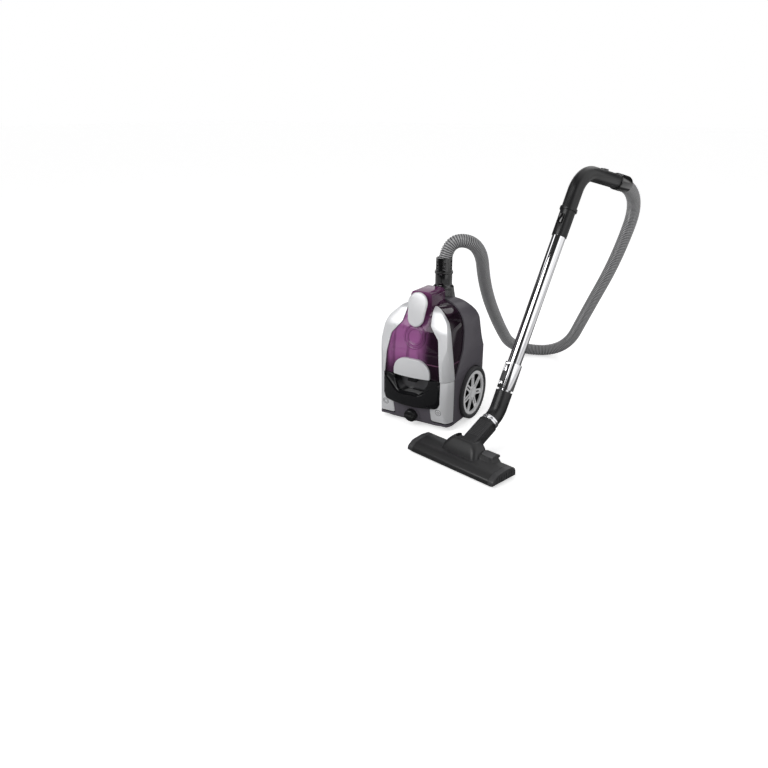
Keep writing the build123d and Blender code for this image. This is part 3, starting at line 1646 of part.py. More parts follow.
with BuildPart() as slider_collar:
    with BuildSketch(wand_plane(collar_start)):
        Circle(collar_r)
        with Locations((0, -rail_r / 2)):
            Rectangle(rail_w, rail_r)
    extrude(amount=collar_end - collar_start)
    with BuildSketch(wand_plane(collar_start)):
        Circle(inner_r + tube_gap)
    extrude(amount=collar_end - collar_start, mode=Mode.SUBTRACT)
    with BuildSketch(wand_plane(outer_start)):
        Circle(outer_r)
    extrude(amount=collar_end - outer_start, mode=Mode.SUBTRACT)
    with BuildSketch(wand_plane(track_start)):
        with Locations((0, -track_floor - over / 2)):
            Rectangle(track_w, over)
    extrude(amount=track_end - track_start, mode=Mode.SUBTRACT)
slider_collar.part.label = "slider_collar"
export_step(slider_collar.part, "parts/slider_collar.step")

with BuildPart() as lock_button:
    with BuildSketch(wand_plane(lock_start)):
        with Locations((0, -(track_floor + tube_gap + lock_r) / 2)):
            Rectangle(track_w - 2 * tube_gap, lock_r - track_floor - tube_gap)
    extrude(amount=lock_end - lock_start)
    fillet(lock_button.edges().filter_by(GeomType.LINE).sort_by(Axis.Y)[:2], 1.5)
lock_button.part.label = "lock_button"
export_step(lock_button.part, "parts/lock_button.step")

# Handle: a bent grip from the tube's end to the hose's end cuff
handle_start = 478.0
handle_bend = 600.0
handle_bend_r = 70.0
handle_fall = math.radians(-12)
grip_long = 120.0
grip_r = 19.5
grip_bore = 15.0
bend_s = elbow_s + handle_bend * math.cos(wand_rise) + handle_bend_r * math.sin(wand_rise)
bend_z = elbow_z + handle_bend * math.sin(wand_rise) - handle_bend_r * math.cos(wand_rise)
grip_dir = (head_back[0] * math.cos(handle_fall), head_back[1] * math.cos(handle_fall), math.sin(handle_fall))
half_turn = (wand_rise - handle_fall) / 2
corner_at = handle_bend + handle_bend_r * math.tan(half_turn)


def grip_point(along):
    s = bend_s - handle_bend_r * math.sin(handle_fall) + along * math.cos(handle_fall)
    z = bend_z + handle_bend_r * math.cos(handle_fall) + along * math.sin(handle_fall)
    return head_point(0, s, z)


def grip_plane(along):
    return Plane(origin=grip_point(along), x_dir=head_right, z_dir=grip_dir)


button_start = 508.0
button_long = 24.0
button_w = 12.0
button_sink = 17.5
button_rise = 2.4
button_t = 4.0
bleed_start = 40.0
bleed_long = 40.0
bleed_end_gap = 2.0
slide_long = 22.0
slide_t = 4.4

grip_line = [wand_point(handle_start), wand_point(corner_at), grip_point(grip_long)]
band_start = 546.0
band_w = 8.0
band_out = 3.0

with BuildPart() as handle_grip:
    add(swept(grip_line, [handle_bend_r], wand_plane(handle_start), grip_r))
    with BuildSketch(wand_plane(band_start)):
        Circle(grip_r + band_out)
    extrude(amount=band_w)
    add(swept(grip_line, [handle_bend_r], wand_plane(handle_start), grip_bore), mode=Mode.SUBTRACT)
    with BuildSketch(wand_plane(handle_start)):
        Circle(outer_r)
    extrude(amount=outer_end - handle_start, mode=Mode.SUBTRACT)
    with BuildSketch(wand_plane(button_start)):
        with Locations((0, -button_sink - over / 2)):
            Rectangle(button_w + 2 * tube_gap, over)
    extrude(amount=button_long + 2 * tube_gap, mode=Mode.SUBTRACT)
    with BuildSketch(grip_plane(bleed_start)):
        with Locations((0, -button_sink - over / 2)):
            Rectangle(button_w + 2 * tube_gap, over)
    extrude(amount=bleed_long, mode=Mode.SUBTRACT)
handle_grip.part.label = "handle_grip"
export_step(handle_grip.part, "parts/handle_grip.step")
print("handle solids", len(handle_grip.part.solids()), handle_grip.part.is_valid)

with BuildPart() as handle_button:
    with BuildSketch(wand_plane(button_start + tube_gap)):
        with Locations((0, -button_sink - button_rise - button_t / 2)):
            Rectangle(button_w, button_t)
    extrude(amount=button_long)
handle_button.part.label = "handle_button"
export_step(handle_button.part, "parts/handle_button.step")

with BuildPart() as air_slide:
    with BuildSketch(grip_plane(bleed_start + bleed_end_gap)):
        with Locations((0, -button_sink - tube_gap - slide_t / 2)):
            Rectangle(button_w, slide_t)
    extrude(amount=slide_long)
air_slide.part.label = "air_slide"
export_step(air_slide.part, "parts/air_slide.step")

# Hose end cuff, swivelling in the grip's end
end_cuff_start = grip_long + 0.6
end_cuff_long = 58.0
end_spigot = 22.0
end_cuff_r = 22.5
end_floor = grip_long + 10.0
hose_lead = 160.0

with BuildPart() as hose_end_cuff:
    with BuildSketch(grip_plane(end_cuff_start)):
        Circle(end_cuff_r)
    extrude(amount=end_cuff_long)
    with BuildSketch(grip_plane(end_cuff_start - end_spigot)):
        Circle(grip_bore - tube_gap)
    extrude(amount=end_spigot)
    with BuildSketch(grip_plane(end_floor)):
        Circle(cuff_bore_r)
    extrude(amount=end_cuff_long, mode=Mode.SUBTRACT)
    with BuildSketch(grip_plane(end_cuff_start - end_spigot)):
        Circle(grip_bore - tube_gap - 2)
    extrude(amount=end_cuff_long, mode=Mode.SUBTRACT)
    chamfer(hose_end_cuff.edges().filter_by(GeomType.CIRCLE).sort_by(SortBy.RADIUS)[-2:], 2)
hose_end_cuff.part.label = "hose_end_cuff"
export_step(hose_end_cuff.part, "parts/hose_end_cuff.step")

# Ribbed hose: straight runs joined by tangent arcs, over the back to the floor and up to the handle
hose_bore = 15.5
hose_valley = 17.0
arc_share = 0.45
floor_lift = 6.0
samples = 400
ribs_back = 10
ribs_floor = 3
ribs_rise = 9
rib_steps = ((0.0, hose_valley), (0.2, hose_r), (0.6, hose_r), (0.8, hose_valley))
steady_axis = Vector(0.75, -0.55, -0.37)
hose_points = [
    (0, inlet_y, cuff_floor + fit), (0, inlet_y, 490), (70, 165, 478), (24, 305, 315), (2, 478, 152),
    (-12, 648, hose_r), (159, 715, hose_r), (249, 634, 205), (335, 590, 390),
    grip_point(grip_long + hose_lead), grip_point(end_floor + fit),
]


def arc_radii(points):
    made = []
    for a, b, c in zip(points, points[1:], points[2:]):
        before = Vector(*b) - Vector(*a)
        after = Vector(*c) - Vector(*b)
        turn = math.radians(before.get_angle(after))
        made.append(arc_share * min(before.length, after.length) / math.tan(turn / 2))
    return made


hose_radii = arc_radii(hose_points)
print("hose arc radii", [round(r, 1) for r in hose_radii])
print("hose points", [tuple(round(v, 2) for v in p) for p in hose_points])
with BuildLine() as hose_line:
    FilletPolyline(*hose_points, radius=hose_radii)
hose_path = hose_line.wire()
shares = [i / samples for i in range(samples)]
low_shares = [share for share in shares if hose_path.position_at(share).Z < hose_r + floor_lift]
floor_from = low_shares[0]
floor_to = low_shares[-1]
print("hose length", round(hose_path.length, 1), "on the floor", floor_from, floor_to)


def hose_plane(share):
    ahead = hose_path.tangent_at(share)
    side = steady_axis - ahead * ahead.dot(steady_axis)
    return Plane(origin=hose_path.position_at(share), x_dir=side.normalized(), z_dir=ahead)


def ribbed_tube(start, end, ribs):
    with BuildPart() as tube:
        for rib in range(ribs):
            for step, radius in rib_steps:
                with BuildSketch(hose_plane(start + (end - start) * (rib + step) / ribs)):
                    Circle(radius)
        with BuildSketch(hose_plane(end)):
            Circle(hose_valley)
        loft(ruled=True)
    return tube.part


with BuildPart() as hose_air:
    with BuildSketch(hose_plane(0)):
        Circle(hose_bore)
    sweep(path=hose_path)

with BuildPart() as hose:
    add(ribbed_tube(0, floor_from, ribs_back))
    add(hose_air.part, mode=Mode.SUBTRACT)
hose.part.label = "hose"
export_step(hose.part, "parts/hose.step")

with BuildPart() as hose_floor:
    add(ribbed_tube(floor_from, floor_to, ribs_floor))
    add(hose_air.part, mode=Mode.SUBTRACT)
hose_floor.part.label = "hose_floor"
export_step(hose_floor.part, "parts/hose_floor.step")

with BuildPart() as hose_rise:
    add(ribbed_tube(floor_to, 1, ribs_rise))
    add(hose_air.part, mode=Mode.SUBTRACT)
hose_rise.part.label = "hose_rise"
export_step(hose_rise.part, "parts/hose_rise.step")
for stretch in (hose, hose_floor, hose_rise):
    print(stretch.part.label, len(stretch.part.solids()), stretch.part.is_valid, round(stretch.part.volume))
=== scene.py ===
import json
import math
import bmesh
import bpy
from mathutils import Matrix, Vector


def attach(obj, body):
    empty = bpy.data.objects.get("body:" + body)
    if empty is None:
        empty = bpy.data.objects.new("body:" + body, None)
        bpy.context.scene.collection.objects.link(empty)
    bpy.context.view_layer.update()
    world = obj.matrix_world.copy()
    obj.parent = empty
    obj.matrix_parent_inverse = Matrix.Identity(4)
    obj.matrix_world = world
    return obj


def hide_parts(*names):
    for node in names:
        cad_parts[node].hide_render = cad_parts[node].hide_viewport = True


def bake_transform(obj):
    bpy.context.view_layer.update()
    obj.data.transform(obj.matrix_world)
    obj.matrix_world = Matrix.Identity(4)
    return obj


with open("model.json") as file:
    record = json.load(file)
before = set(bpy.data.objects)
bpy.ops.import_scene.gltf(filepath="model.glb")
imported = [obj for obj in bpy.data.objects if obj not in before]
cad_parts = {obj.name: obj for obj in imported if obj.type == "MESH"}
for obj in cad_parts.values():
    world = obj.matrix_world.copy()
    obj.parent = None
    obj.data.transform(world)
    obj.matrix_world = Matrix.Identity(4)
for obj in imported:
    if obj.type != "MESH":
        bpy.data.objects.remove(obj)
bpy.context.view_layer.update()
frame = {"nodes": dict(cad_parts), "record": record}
scene = bpy.context.scene
nodes = frame["nodes"]
record = frame["record"]
bodyOf = {node: body for body, members in record["behaviour"]["bodies"].items() for node in members}
print("frame:", len(nodes), "nodes")

# camera at the photograph's place, in degrees, metres and millimetres
view = {
    "azimuth": 32.49, "elevation": 21.12, "place": (0.92213, -1.67261, 0.83186),
    "lens": 33.873, "sensor": 36.0,
}


def setCamera():
    az, el = math.radians(view["azimuth"]), math.radians(view["elevation"])
    back = Vector((math.sin(az) * math.cos(el), -math.cos(az) * math.cos(el), math.sin(el)))
    right = Vector((math.cos(az), math.sin(az), 0))
    up = back.cross(right)
    turn = Matrix((right, up, back)).transposed().to_4x4()
    data = bpy.data.cameras.new("photoCamera")
    data.lens = view["lens"]
    data.sensor_width = view["sensor"]
    camera = bpy.data.objects.new("photoCamera", data)
    camera.matrix_world = Matrix.Translation(view["place"]) @ turn
    scene.collection.objects.link(camera)
    scene.camera = camera


setCamera()


# node helpers: a plain number is set on a socket, and another socket is linked to it
def feed(tree, value, socket):
    if isinstance(value, (int, float)):
        socket.default_value = value
    else:
        tree.links.new(value, socket)


def setInputs(node, values):
    for label, value in values.items():
        node.inputs[label].default_value = value


def addNode(tree, kind, **values):
    node = tree.nodes.new(kind)
    for key, value in values.items():
        if hasattr(node, key):
            setattr(node, key, value)
        else:
            node.inputs[key].default_value = value
    return node


def addMath(tree, operation, first, second=None, third=None, clamp=False):
    node = addNode(tree, "ShaderNodeMath", operation=operation, use_clamp=clamp)
    for socket, value in zip(node.inputs, (first, second, third)):
        if value is not None:
            feed(tree, value, socket)
    return node.outputs[0]


# a soft step of a value between two levels
def softEdge(tree, value, low, high, first=0.0, last=1.0):
    node = addNode(tree, "ShaderNodeMapRange", interpolation_type="SMOOTHSTEP")
    given = {"Value": value, "From Min": low, "From Max": high, "To Min": first, "To Max": last}
    for label, level in given.items():
        feed(tree, level, node.inputs[label])
    return node.outputs["Result"]


def newGroup(name, inputs, outputs):
    group = bpy.data.node_groups.new(name, "ShaderNodeTree")
    for label, kind, value in inputs:
        socket = group.interface.new_socket(name=label, in_out="INPUT", socket_type="NodeSocket" + kind)
        socket.default_value = value
    for label, kind in outputs:
        group.interface.new_socket(name=label, in_out="OUTPUT", socket_type="NodeSocket" + kind)
    return group, group.nodes.new("NodeGroupInput"), group.nodes.new("NodeGroupOutput")


def newPaint(name):
    paint = bpy.data.materials.new(name)
    paint.use_nodes = True
    return paint, paint.node_tree, paint.node_tree.nodes["Principled BSDF"]


# studio: a white floor, three soft lamps, and light and dark cards that only reflections see
studio = {
    # floorMirrored and floorCards are painted light that only reflections see: a dark tone, with bright
    # strips far to the left and right
    "floor": 0.9, "floorGlow": 0.58, "floorMirrored": 0.12, "floorReach": 30, "floorRough": 0.9,
    "floorSheen": 0.1, "sky": 0.46, "shade": 0.03, "aim": (0.1, 0.1, 0.2),
    "floorCards": ((1, 0.7, 0.9, 0.95), (-1, 1.0, 1.25, 0.7)),  # side, from, to, strength
    "lamps": (  # name, place, size, watts
        ("keyLamp", (-0.9, -2.4, 1.9), 2.2, 44.0),
        ("fillLamp", (2.4, -1.2, 1.4), 1.8, 4.0),
        ("rimLamp", (0.4, 2.4, 2.2), 1.6, 9.0),
    ),
    "cards": (  # direction, reach and softness in degrees, strength
        ((1.0, 0.08, 0.12), 50.0, 7.0, 0.95),
        ((-0.74, -0.19, 0.64), 8.0, 4.0, 1.6),
        ((0.1, 0.3, 1.0), 30.0, 10.0, 0.8),
        ((-0.5, 0.79, 0.36), 20.0, 8.0, 0.8),
    ),
}


def cardLight(tree, direction, axis, reach, soft, strength):
    toward = addNode(tree, "ShaderNodeVectorMath", operation="DOT_PRODUCT")
    toward.inputs[1].default_value = Vector(axis).normalized()
    tree.links.new(direction, toward.inputs[0])
    low, high = math.cos(math.radians(reach + soft)), math.cos(math.radians(reach - soft))
    return softEdge(tree, toward.outputs["Value"], low, high, last=strength)


def setWorld():
    world = bpy.data.worlds.new("paleRoom")
    world.use_nodes = True
    scene.world = world
    tree = world.node_tree
    ground = tree.nodes["Background"]
    ground.inputs["Color"].default_value = (1, 1, 1, 1)
    place = tree.nodes.new("ShaderNodeTexCoord")
    path = tree.nodes.new("ShaderNodeLightPath")
    cards = studio["shade"]
    for card in studio["cards"]:
        cards = addMath(tree, "ADD", cardLight(tree, place.outputs["Generated"], *card), cards)
    mirrored = addNode(tree, "ShaderNodeMix")
    mirrored.inputs["A"].default_value = studio["sky"]
    tree.links.new(path.outputs["Is Glossy Ray"], mirrored.inputs["Factor"])
    tree.links.new(cards, mirrored.inputs["B"])
    seen = addMath(tree, "MAXIMUM", path.outputs["Is Camera Ray"], path.outputs["Is Transmission Ray"])
    level = addNode(tree, "ShaderNodeMix")
    level.inputs["B"].default_value = 1.0
    tree.links.new(seen, level.inputs["Factor"])
    tree.links.new(mirrored.outputs["Result"], level.inputs["A"])
    tree.links.new(level.outputs["Result"], ground.inputs["Strength"])


def setFloor():
    far = studio["floorReach"]
    mesh = bpy.data.meshes.new("studioFloor")
    mesh.from_pydata([(-far, -far, 0), (far, -far, 0), (far, far, 0), (-far, far, 0)], [], [(0, 1, 2, 3)])
    floor = bpy.data.objects.new("studioFloor", mesh)
    scene.collection.objects.link(floor)
    paint, tree, shader = newPaint("paleFloor")
    path = tree.nodes.new("ShaderNodeLightPath")
    place = tree.nodes.new("ShaderNodeTexCoord")
    across = tree.nodes.new("ShaderNodeSeparateXYZ")
    tree.links.new(place.outputs["Object"], across.inputs[0])
    # painted light for reflections: a dark tone, with bright strips painted far to the left and right
    mirrored = studio["floorMirrored"]
    for side, near, beyond, strength in studio["floorCards"]:
        aside = addMath(tree, "MULTIPLY", across.outputs["X"], side)
        mirrored = addMath(tree, "ADD", softEdge(tree, aside, near, beyond, last=strength), mirrored)
    tone = addNode(tree, "ShaderNodeMix", data_type="RGBA")
    tone.inputs["A"].default_value = (*[studio["floor"]] * 3, 1)
    tree.links.new(path.outputs["Is Glossy Ray"], tone.inputs["Factor"])
    tree.links.new(mirrored, tone.inputs["B"])
    tree.links.new(tone.outputs["Result"], shader.inputs["Base Color"])
    glow = addMath(tree, "MULTIPLY", path.outputs["Is Camera Ray"], studio["floorGlow"])
    tree.links.new(glow, shader.inputs["Emission Strength"])
    setInputs(shader, {
        "Roughness": studio["floorRough"], "Specular IOR Level": studio["floorSheen"],
        "Emission Color": (1, 1, 1, 1),
    })
    mesh.materials.append(paint)


def setLamps():
    for name, place, size, power in studio["lamps"]:
        data = bpy.data.lights.new(name, "AREA")
        data.shape = "DISK"
        data.size = size
        data.energy = power
        lamp = bpy.data.objects.new(name, data)
        turn = (Vector(place) - Vector(studio["aim"])).to_track_quat("Z", "Y").to_matrix().to_4x4()
        lamp.matrix_world = Matrix.Translation(place) @ turn
        scene.collection.objects.link(lamp)


scene.view_settings.view_transform = "Standard"
setWorld()
setFloor()
setLamps()
print("camera and studio set")

# moulded skin: a fine grain, and a slow drift of tone and gloss over the surface
skin = {"driftScale": 9.0, "driftDetail": 4.0, "grainDetail": 2.0, "bump": 0.6, "coatRough": 0.05}


def mouldedGroup():
    group, enter, leave = newGroup(
        "mouldedSkin",
        [("Color", "Color", (0.5, 0.5, 0.5, 1)), ("Tone Drift", "Float", 0.1), ("Roughness", "Float", 0.4),
         ("Gloss Drift", "Float", 0.1), ("Grain Scale", "Float", 900.0)],
        [("Color", "Color"), ("Roughness", "Float"), ("Height", "Float")],
    )
    link = group.links.new
    place = group.nodes.new("ShaderNodeTexCoord")
    slow = addNode(group, "ShaderNodeTexNoise", Scale=skin["driftScale"], Detail=skin["driftDetail"])
    grain = addNode(group, "ShaderNodeTexNoise", Detail=skin["grainDetail"])
    link(place.outputs["Object"], slow.inputs["Vector"])
    link(place.outputs["Object"], grain.inputs["Vector"])
    link(enter.outputs["Grain Scale"], grain.inputs["Scale"])
    centred = addMath(group, "SUBTRACT", slow.outputs["Fac"], 0.5)
    tone = addMath(group, "MULTIPLY_ADD", centred, enter.outputs["Tone Drift"], 1.0)
    shade = addNode(group, "ShaderNodeVectorMath", operation="SCALE")
    link(enter.outputs["Color"], shade.inputs[0])
    link(tone, shade.inputs["Scale"])
    drift, rough = enter.outputs["Gloss Drift"], enter.outputs["Roughness"]
    link(shade.outputs[0], leave.inputs["Color"])
    link(addMath(group, "MULTIPLY_ADD", centred, drift, rough, clamp=True), leave.inputs["Roughness"])
    link(grain.outputs["Fac"], leave.inputs["Height"])
    return group


# how far a point is along an axis, as a soft step from one place to another
def stepGroup():
    group, enter, leave = newGroup(
        "softStep",
        [("Axis", "Vector", (1, 0, 0)), ("From", "Float", 0.0), ("To", "Float", 1.0)],
        [("Mask", "Float")],
    )
    place = group.nodes.new("ShaderNodeTexCoord")
    along = addNode(group, "ShaderNodeVectorMath", operation="DOT_PRODUCT")
    group.links.new(place.outputs["Object"], along.inputs[0])
    group.links.new(enter.outputs["Axis"], along.inputs[1])
    step = softEdge(group, along.outputs["Value"], enter.outputs["From"], enter.outputs["To"])
    group.links.new(step, leave.inputs["Mask"])
    return group


# a ring in a plane of two axes, or a band or a disc: how near a point is to a circle round a centre
ringCore = 0.6  # the share of the half width that is at full strength


def ringGroup():
    group, enter, leave = newGroup(
        "ringMark",
        [("Centre", "Vector", (0, 0, 0)), ("Radius", "Float", 0.01), ("Width", "Float", 0.001),
         ("Plane", "Vector", (1, 0, 1))],
        [("Mask", "Float")],
    )
    link = group.links.new
    place = group.nodes.new("ShaderNodeTexCoord")
    offset = addNode(group, "ShaderNodeVectorMath", operation="SUBTRACT")
    link(place.outputs["Object"], offset.inputs[0])
    link(enter.outputs["Centre"], offset.inputs[1])
    flat = addNode(group, "ShaderNodeVectorMath", operation="MULTIPLY")
    link(offset.outputs[0], flat.inputs[0])
    link(enter.outputs["Plane"], flat.inputs[1])
    reach = addNode(group, "ShaderNodeVectorMath", operation="LENGTH")
    link(flat.outputs[0], reach.inputs[0])
    past = addMath(group, "SUBTRACT", reach.outputs["Value"], enter.outputs["Radius"])
    half = addMath(group, "MULTIPLY", enter.outputs["Width"], 0.5)
    core = addMath(group, "MULTIPLY", half, ringCore)
    near = softEdge(group, addMath(group, "ABSOLUTE", past), core, half, first=1.0, last=0.0)
    link(near, leave.inputs["Mask"])
    return group


# upright streaks, for what shows dimly through the clear cup
streaks = {"squeeze": (1, 0.3, 0.16), "detail": 3.0, "rough": 0.55, "from": 0.48, "to": 0.68}


def streakGroup():
    group, enter, leave = newGroup("innerStreaks", [("Scale", "Float", 60.0)], [("Mask", "Float")])
    place = group.nodes.new("ShaderNodeTexCoord")
    squeeze = addNode(group, "ShaderNodeMapping", Scale=streaks["squeeze"])
    group.links.new(place.outputs["Object"], squeeze.inputs["Vector"])
    noise = addNode(group, "ShaderNodeTexNoise", Detail=streaks["detail"], Roughness=streaks["rough"])
    group.links.new(squeeze.outputs["Vector"], noise.inputs["Vector"])
    group.links.new(enter.outputs["Scale"], noise.inputs["Scale"])
    step = softEdge(group, noise.outputs["Fac"], streaks["from"], streaks["to"])
    group.links.new(step, leave.inputs["Mask"])
    return group


effects = {"moulded": mouldedGroup(), "step": stepGroup(), "ring": ringGroup(), "streaks": streakGroup()}


def effect(tree, name, values):
    node = tree.nodes.new("ShaderNodeGroup")
    node.node_tree = effects[name]
    setInputs(node, values)
    return node


def mask(tree, name, **values):
    return effect(tree, name, values).outputs["Mask"]


def finish(name, color, roughness=0.4, metallic=0.0, coat=0.0, grain=900.0, depth=0.00002, tone=0.12,
           gloss=0.1, transmission=0.0, ior=1.5, sheen=0.5):
    paint, tree, shader = newPaint(name)
    moulded = effect(tree, "moulded", {
        "Color": (*color, 1), "Tone Drift": tone, "Roughness": roughness, "Gloss Drift": gloss,
        "Grain Scale": grain,
    })
    tree.links.new(moulded.outputs["Color"], shader.inputs["Base Color"])
    tree.links.new(moulded.outputs["Roughness"], shader.inputs["Roughness"])
    bump = addNode(tree, "ShaderNodeBump", Distance=depth, Strength=skin["bump"])
    tree.links.new(moulded.outputs["Height"], bump.inputs["Height"])
    tree.links.new(bump.outputs["Normal"], shader.inputs["Normal"])
    setInputs(shader, {
        "Metallic": metallic, "Coat Weight": coat, "Coat Roughness": skin["coatRough"],
        "Specular IOR Level": sheen, "Transmission Weight": transmission, "IOR": ior,
    })
    return paint


# lays a second colour over a finish where a mask is white, at a share of its strength
def overlay(paint, where, color, share=1.0):
    tree = paint.node_tree
    base = tree.nodes["Principled BSDF"].inputs["Base Color"]
    mix = addNode(tree, "ShaderNodeMix", data_type="RGBA")
    mix.inputs["B"].default_value = (*color, 1)
    tree.links.new(base.links[0].from_socket, mix.inputs["A"])
    tree.links.new(addMath(tree, "MULTIPLY", where, share), mix.inputs["Factor"])
    tree.links.new(mix.outputs["Result"], base)


# clear violet cup: pale where the light comes through, with painted shade making it near black towards the
# housing and at the far left edge, and darker towards the foot
cup = {
    # the deep colour is the near black of the painted shade, on the cup and the lid
    "pale": (0.46, 0.16, 0.41), "deep": (0.012, 0.004, 0.010), "line": (0.10, 0.025, 0.085),
    "streakScale": 75.0, "streakShare": 0.55,
    "ringCentre": (0, 0, 0.254), "rings": (0.033, 0.0285, 0.024, 0.0195), "ringLine": 0.0016,
    "ringShare": 0.75,
    "rightFrom": 0.004, "rightTo": 0.052, "leftFrom": 0.066, "leftTo": 0.088, "sideShadeShare": 0.97,
    "footHigh": 0.205, "footLow": 0.150, "footShare": 0.8,
    "seam": (0.40, 0.16, 0.30), "seamLow": 0.186, "seamHigh": 0.1874, "seamSoft": 0.0012, "seamShare": 0.5,
}


def cupPaint():
    paint = finish(
        "clearViolet", cup["pale"], 0.06, transmission=0.42, tone=0.1, gloss=0.03, depth=0.000002, ior=1.46,
        coat=0.1, sheen=0.25,
    )
    tree = paint.node_tree
    overlay(paint, mask(tree, "streaks", Scale=cup["streakScale"]), cup["line"], cup["streakShare"])
    for radius in cup["rings"]:
        ring = mask(tree, "ring", Centre=cup["ringCentre"], Radius=radius, Width=cup["ringLine"])
        overlay(paint, ring, cup["line"], cup["ringShare"])
    # painted shade: near black towards the right and at the far left edge, darker towards the foot
    toRight = mask(tree, "step", Axis=(1, 0, 0), From=cup["rightFrom"], To=cup["rightTo"])
    toLeft = mask(tree, "step", Axis=(-1, 0, 0), From=cup["leftFrom"], To=cup["leftTo"])
    toFoot = mask(tree, "step", Axis=(0, 0, -1), From=-cup["footHigh"], To=-cup["footLow"])
    overlay(paint, toFoot, cup["deep"], cup["footShare"])
    overlay(paint, addMath(tree, "MAXIMUM", toRight, toLeft), cup["deep"], cup["sideShadeShare"])
    above = mask(tree, "step", Axis=(0, 0, 1), From=cup["seamLow"] - cup["seamSoft"], To=cup["seamLow"])
    below = mask(tree, "step", Axis=(0, 0, -1), From=-cup["seamHigh"] - cup["seamSoft"], To=-cup["seamHigh"])
    seam = addMath(tree, "MULTIPLY", addMath(tree, "MULTIPLY", above, below), toRight)
    overlay(paint, seam, cup["seam"], cup["seamShare"])
    return paint


# lid in the same violet, with painted shade making it dark towards the right, where the housing is under it
lid = {"pale": (0.24, 0.065, 0.20), "shadeFrom": 0.012, "shadeTo": 0.046, "shadeShare": 0.9}


def lidPaint():
    paint = finish(
        "lidViolet", lid["pale"], 0.09, transmission=0.3, coat=0.05, tone=0.15, gloss=0.04, depth=0.000002,
        ior=1.46,
    )
    # painted shade towards the right
    toRight = mask(paint.node_tree, "step", Axis=(1, 0, 0), From=lid["shadeFrom"], To=lid["shadeTo"])
    overlay(paint, toRight, cup["deep"], lid["shadeShare"])
    return paint


# housing: painted shade, near black, in its wheel wells
housing = {
    "tone": (0.092, 0.083, 0.100), "wellShade": (0.008, 0.008, 0.009), "wellMiddle": (0, 0.060, 0.075),
    "wellWidth": 0.16, "wellShare": 0.92,
}


def bodyPaint():
    paint = finish("bodyGrey", housing["tone"], 0.42, coat=0.08)
    # painted shade round the wheel axle, in the wheel wells
    wellShadeMask = mask(
        paint.node_tree, "ring", Centre=housing["wellMiddle"], Radius=0.0, Width=housing["wellWidth"],
        Plane=(0, 1, 1),
    )
    overlay(paint, wellShadeMask, housing["wellShade"], housing["wellShare"])
    return paint


# bin base: black gloss, with painted light in the grip pocket, a paler grey that stands in for the plate's
# light caught there
pocket = {
    "tone": (0.11, 0.11, 0.115), "middle": (0, 0, 0.125), "width": 0.105, "front": -0.092, "back": -0.080,
    "low": 0.098, "high": 0.108, "share": 0.9,
}


def basePaint():
    paint = finish("baseGloss", (0.007, 0.007, 0.008), 0.09, coat=0.5, depth=0.000003)
    tree = paint.node_tree
    across = mask(tree, "ring", Centre=pocket["middle"], Radius=0.0, Width=pocket["width"], Plane=(1, 0, 0))
    inside = mask(tree, "step", Axis=(0, 1, 0), From=pocket["front"], To=pocket["back"])
    above = mask(tree, "step", Axis=(0, 0, 1), From=pocket["low"], To=pocket["high"])
    # painted light: the paler grey inside the grip pocket
    where = addMath(tree, "MULTIPLY", addMath(tree, "MULTIPLY", across, inside), above)
    overlay(paint, where, pocket["tone"], pocket["share"])
    return paint


# wheels: bright faces, with painted shade, near black, in the depths between the spokes
wheel = {"face": (0.93, 0.93, 0.94), "depth": (0.014, 0.014, 0.015), "depthShadeFrom": 0.1145, "depthShadeTo": 0.1128}


def wheelPaint():
    paint = finish("wheelSilver", wheel["face"], 0.24, metallic=0.05, coat=0.3, grain=2600, tone=0.06)
    tree = paint.node_tree
    inRight, inLeft = (
        mask(tree, "step", Axis=(side, 0, 0), From=-wheel["depthShadeFrom"], To=-wheel["depthShadeTo"])
        for side in (-1, 1)
    )
    # painted shade inboard of the wheels' outer faces, between the spokes
    overlay(paint, addMath(tree, "MULTIPLY", inRight, inLeft), wheel["depth"])
    return paint


# silver pedals: printed marks of no maker, a ring in a ring on each
silver = {
    "color": (0.74, 0.745, 0.76), "roughness": 0.3, "metallic": 0.25, "coat": 0.3, "grain": 2600,
    "tone": 0.06,
}
icons = {
    "height": 0.056, "across": 0.083, "ring": 0.0085, "powerInner": 0.0035, "rewindInner": 0.00525,
    "line": 0.0015, "ink": (0.05, 0.05, 0.055),
}


def pedalPaint(name, side, inner):
    paint = finish(name, **silver)
    centre = (side * icons["across"], 0, icons["height"])
    for radius in (icons["ring"], inner):
        ring = mask(paint.node_tree, "ring", Centre=centre, Radius=radius, Width=icons["line"])
        overlay(paint, ring, icons["ink"])
    return paint


# ribbed hose's finish: grey crests, with painted shade making the valleys near black, by the rib height kept
# on the mesh
ribs = {"crest": (0.42, 0.42, 0.428), "valley": (0.012, 0.012, 0.013), "fade": 0.75}


def hosePaint():
    paint = finish("hoseGrey", ribs["crest"], 0.24, coat=0.4, sheen=0.6)
    tree = paint.node_tree
    crest = addNode(tree, "ShaderNodeAttribute", attribute_name="crest")
    low = addMath(tree, "SUBTRACT", 1.0, crest.outputs["Fac"], clamp=True)
    # painted shade in the valleys between the ribs
    overlay(paint, addMath(tree, "POWER", low, ribs["fade"], clamp=True), ribs["valley"])
    return paint


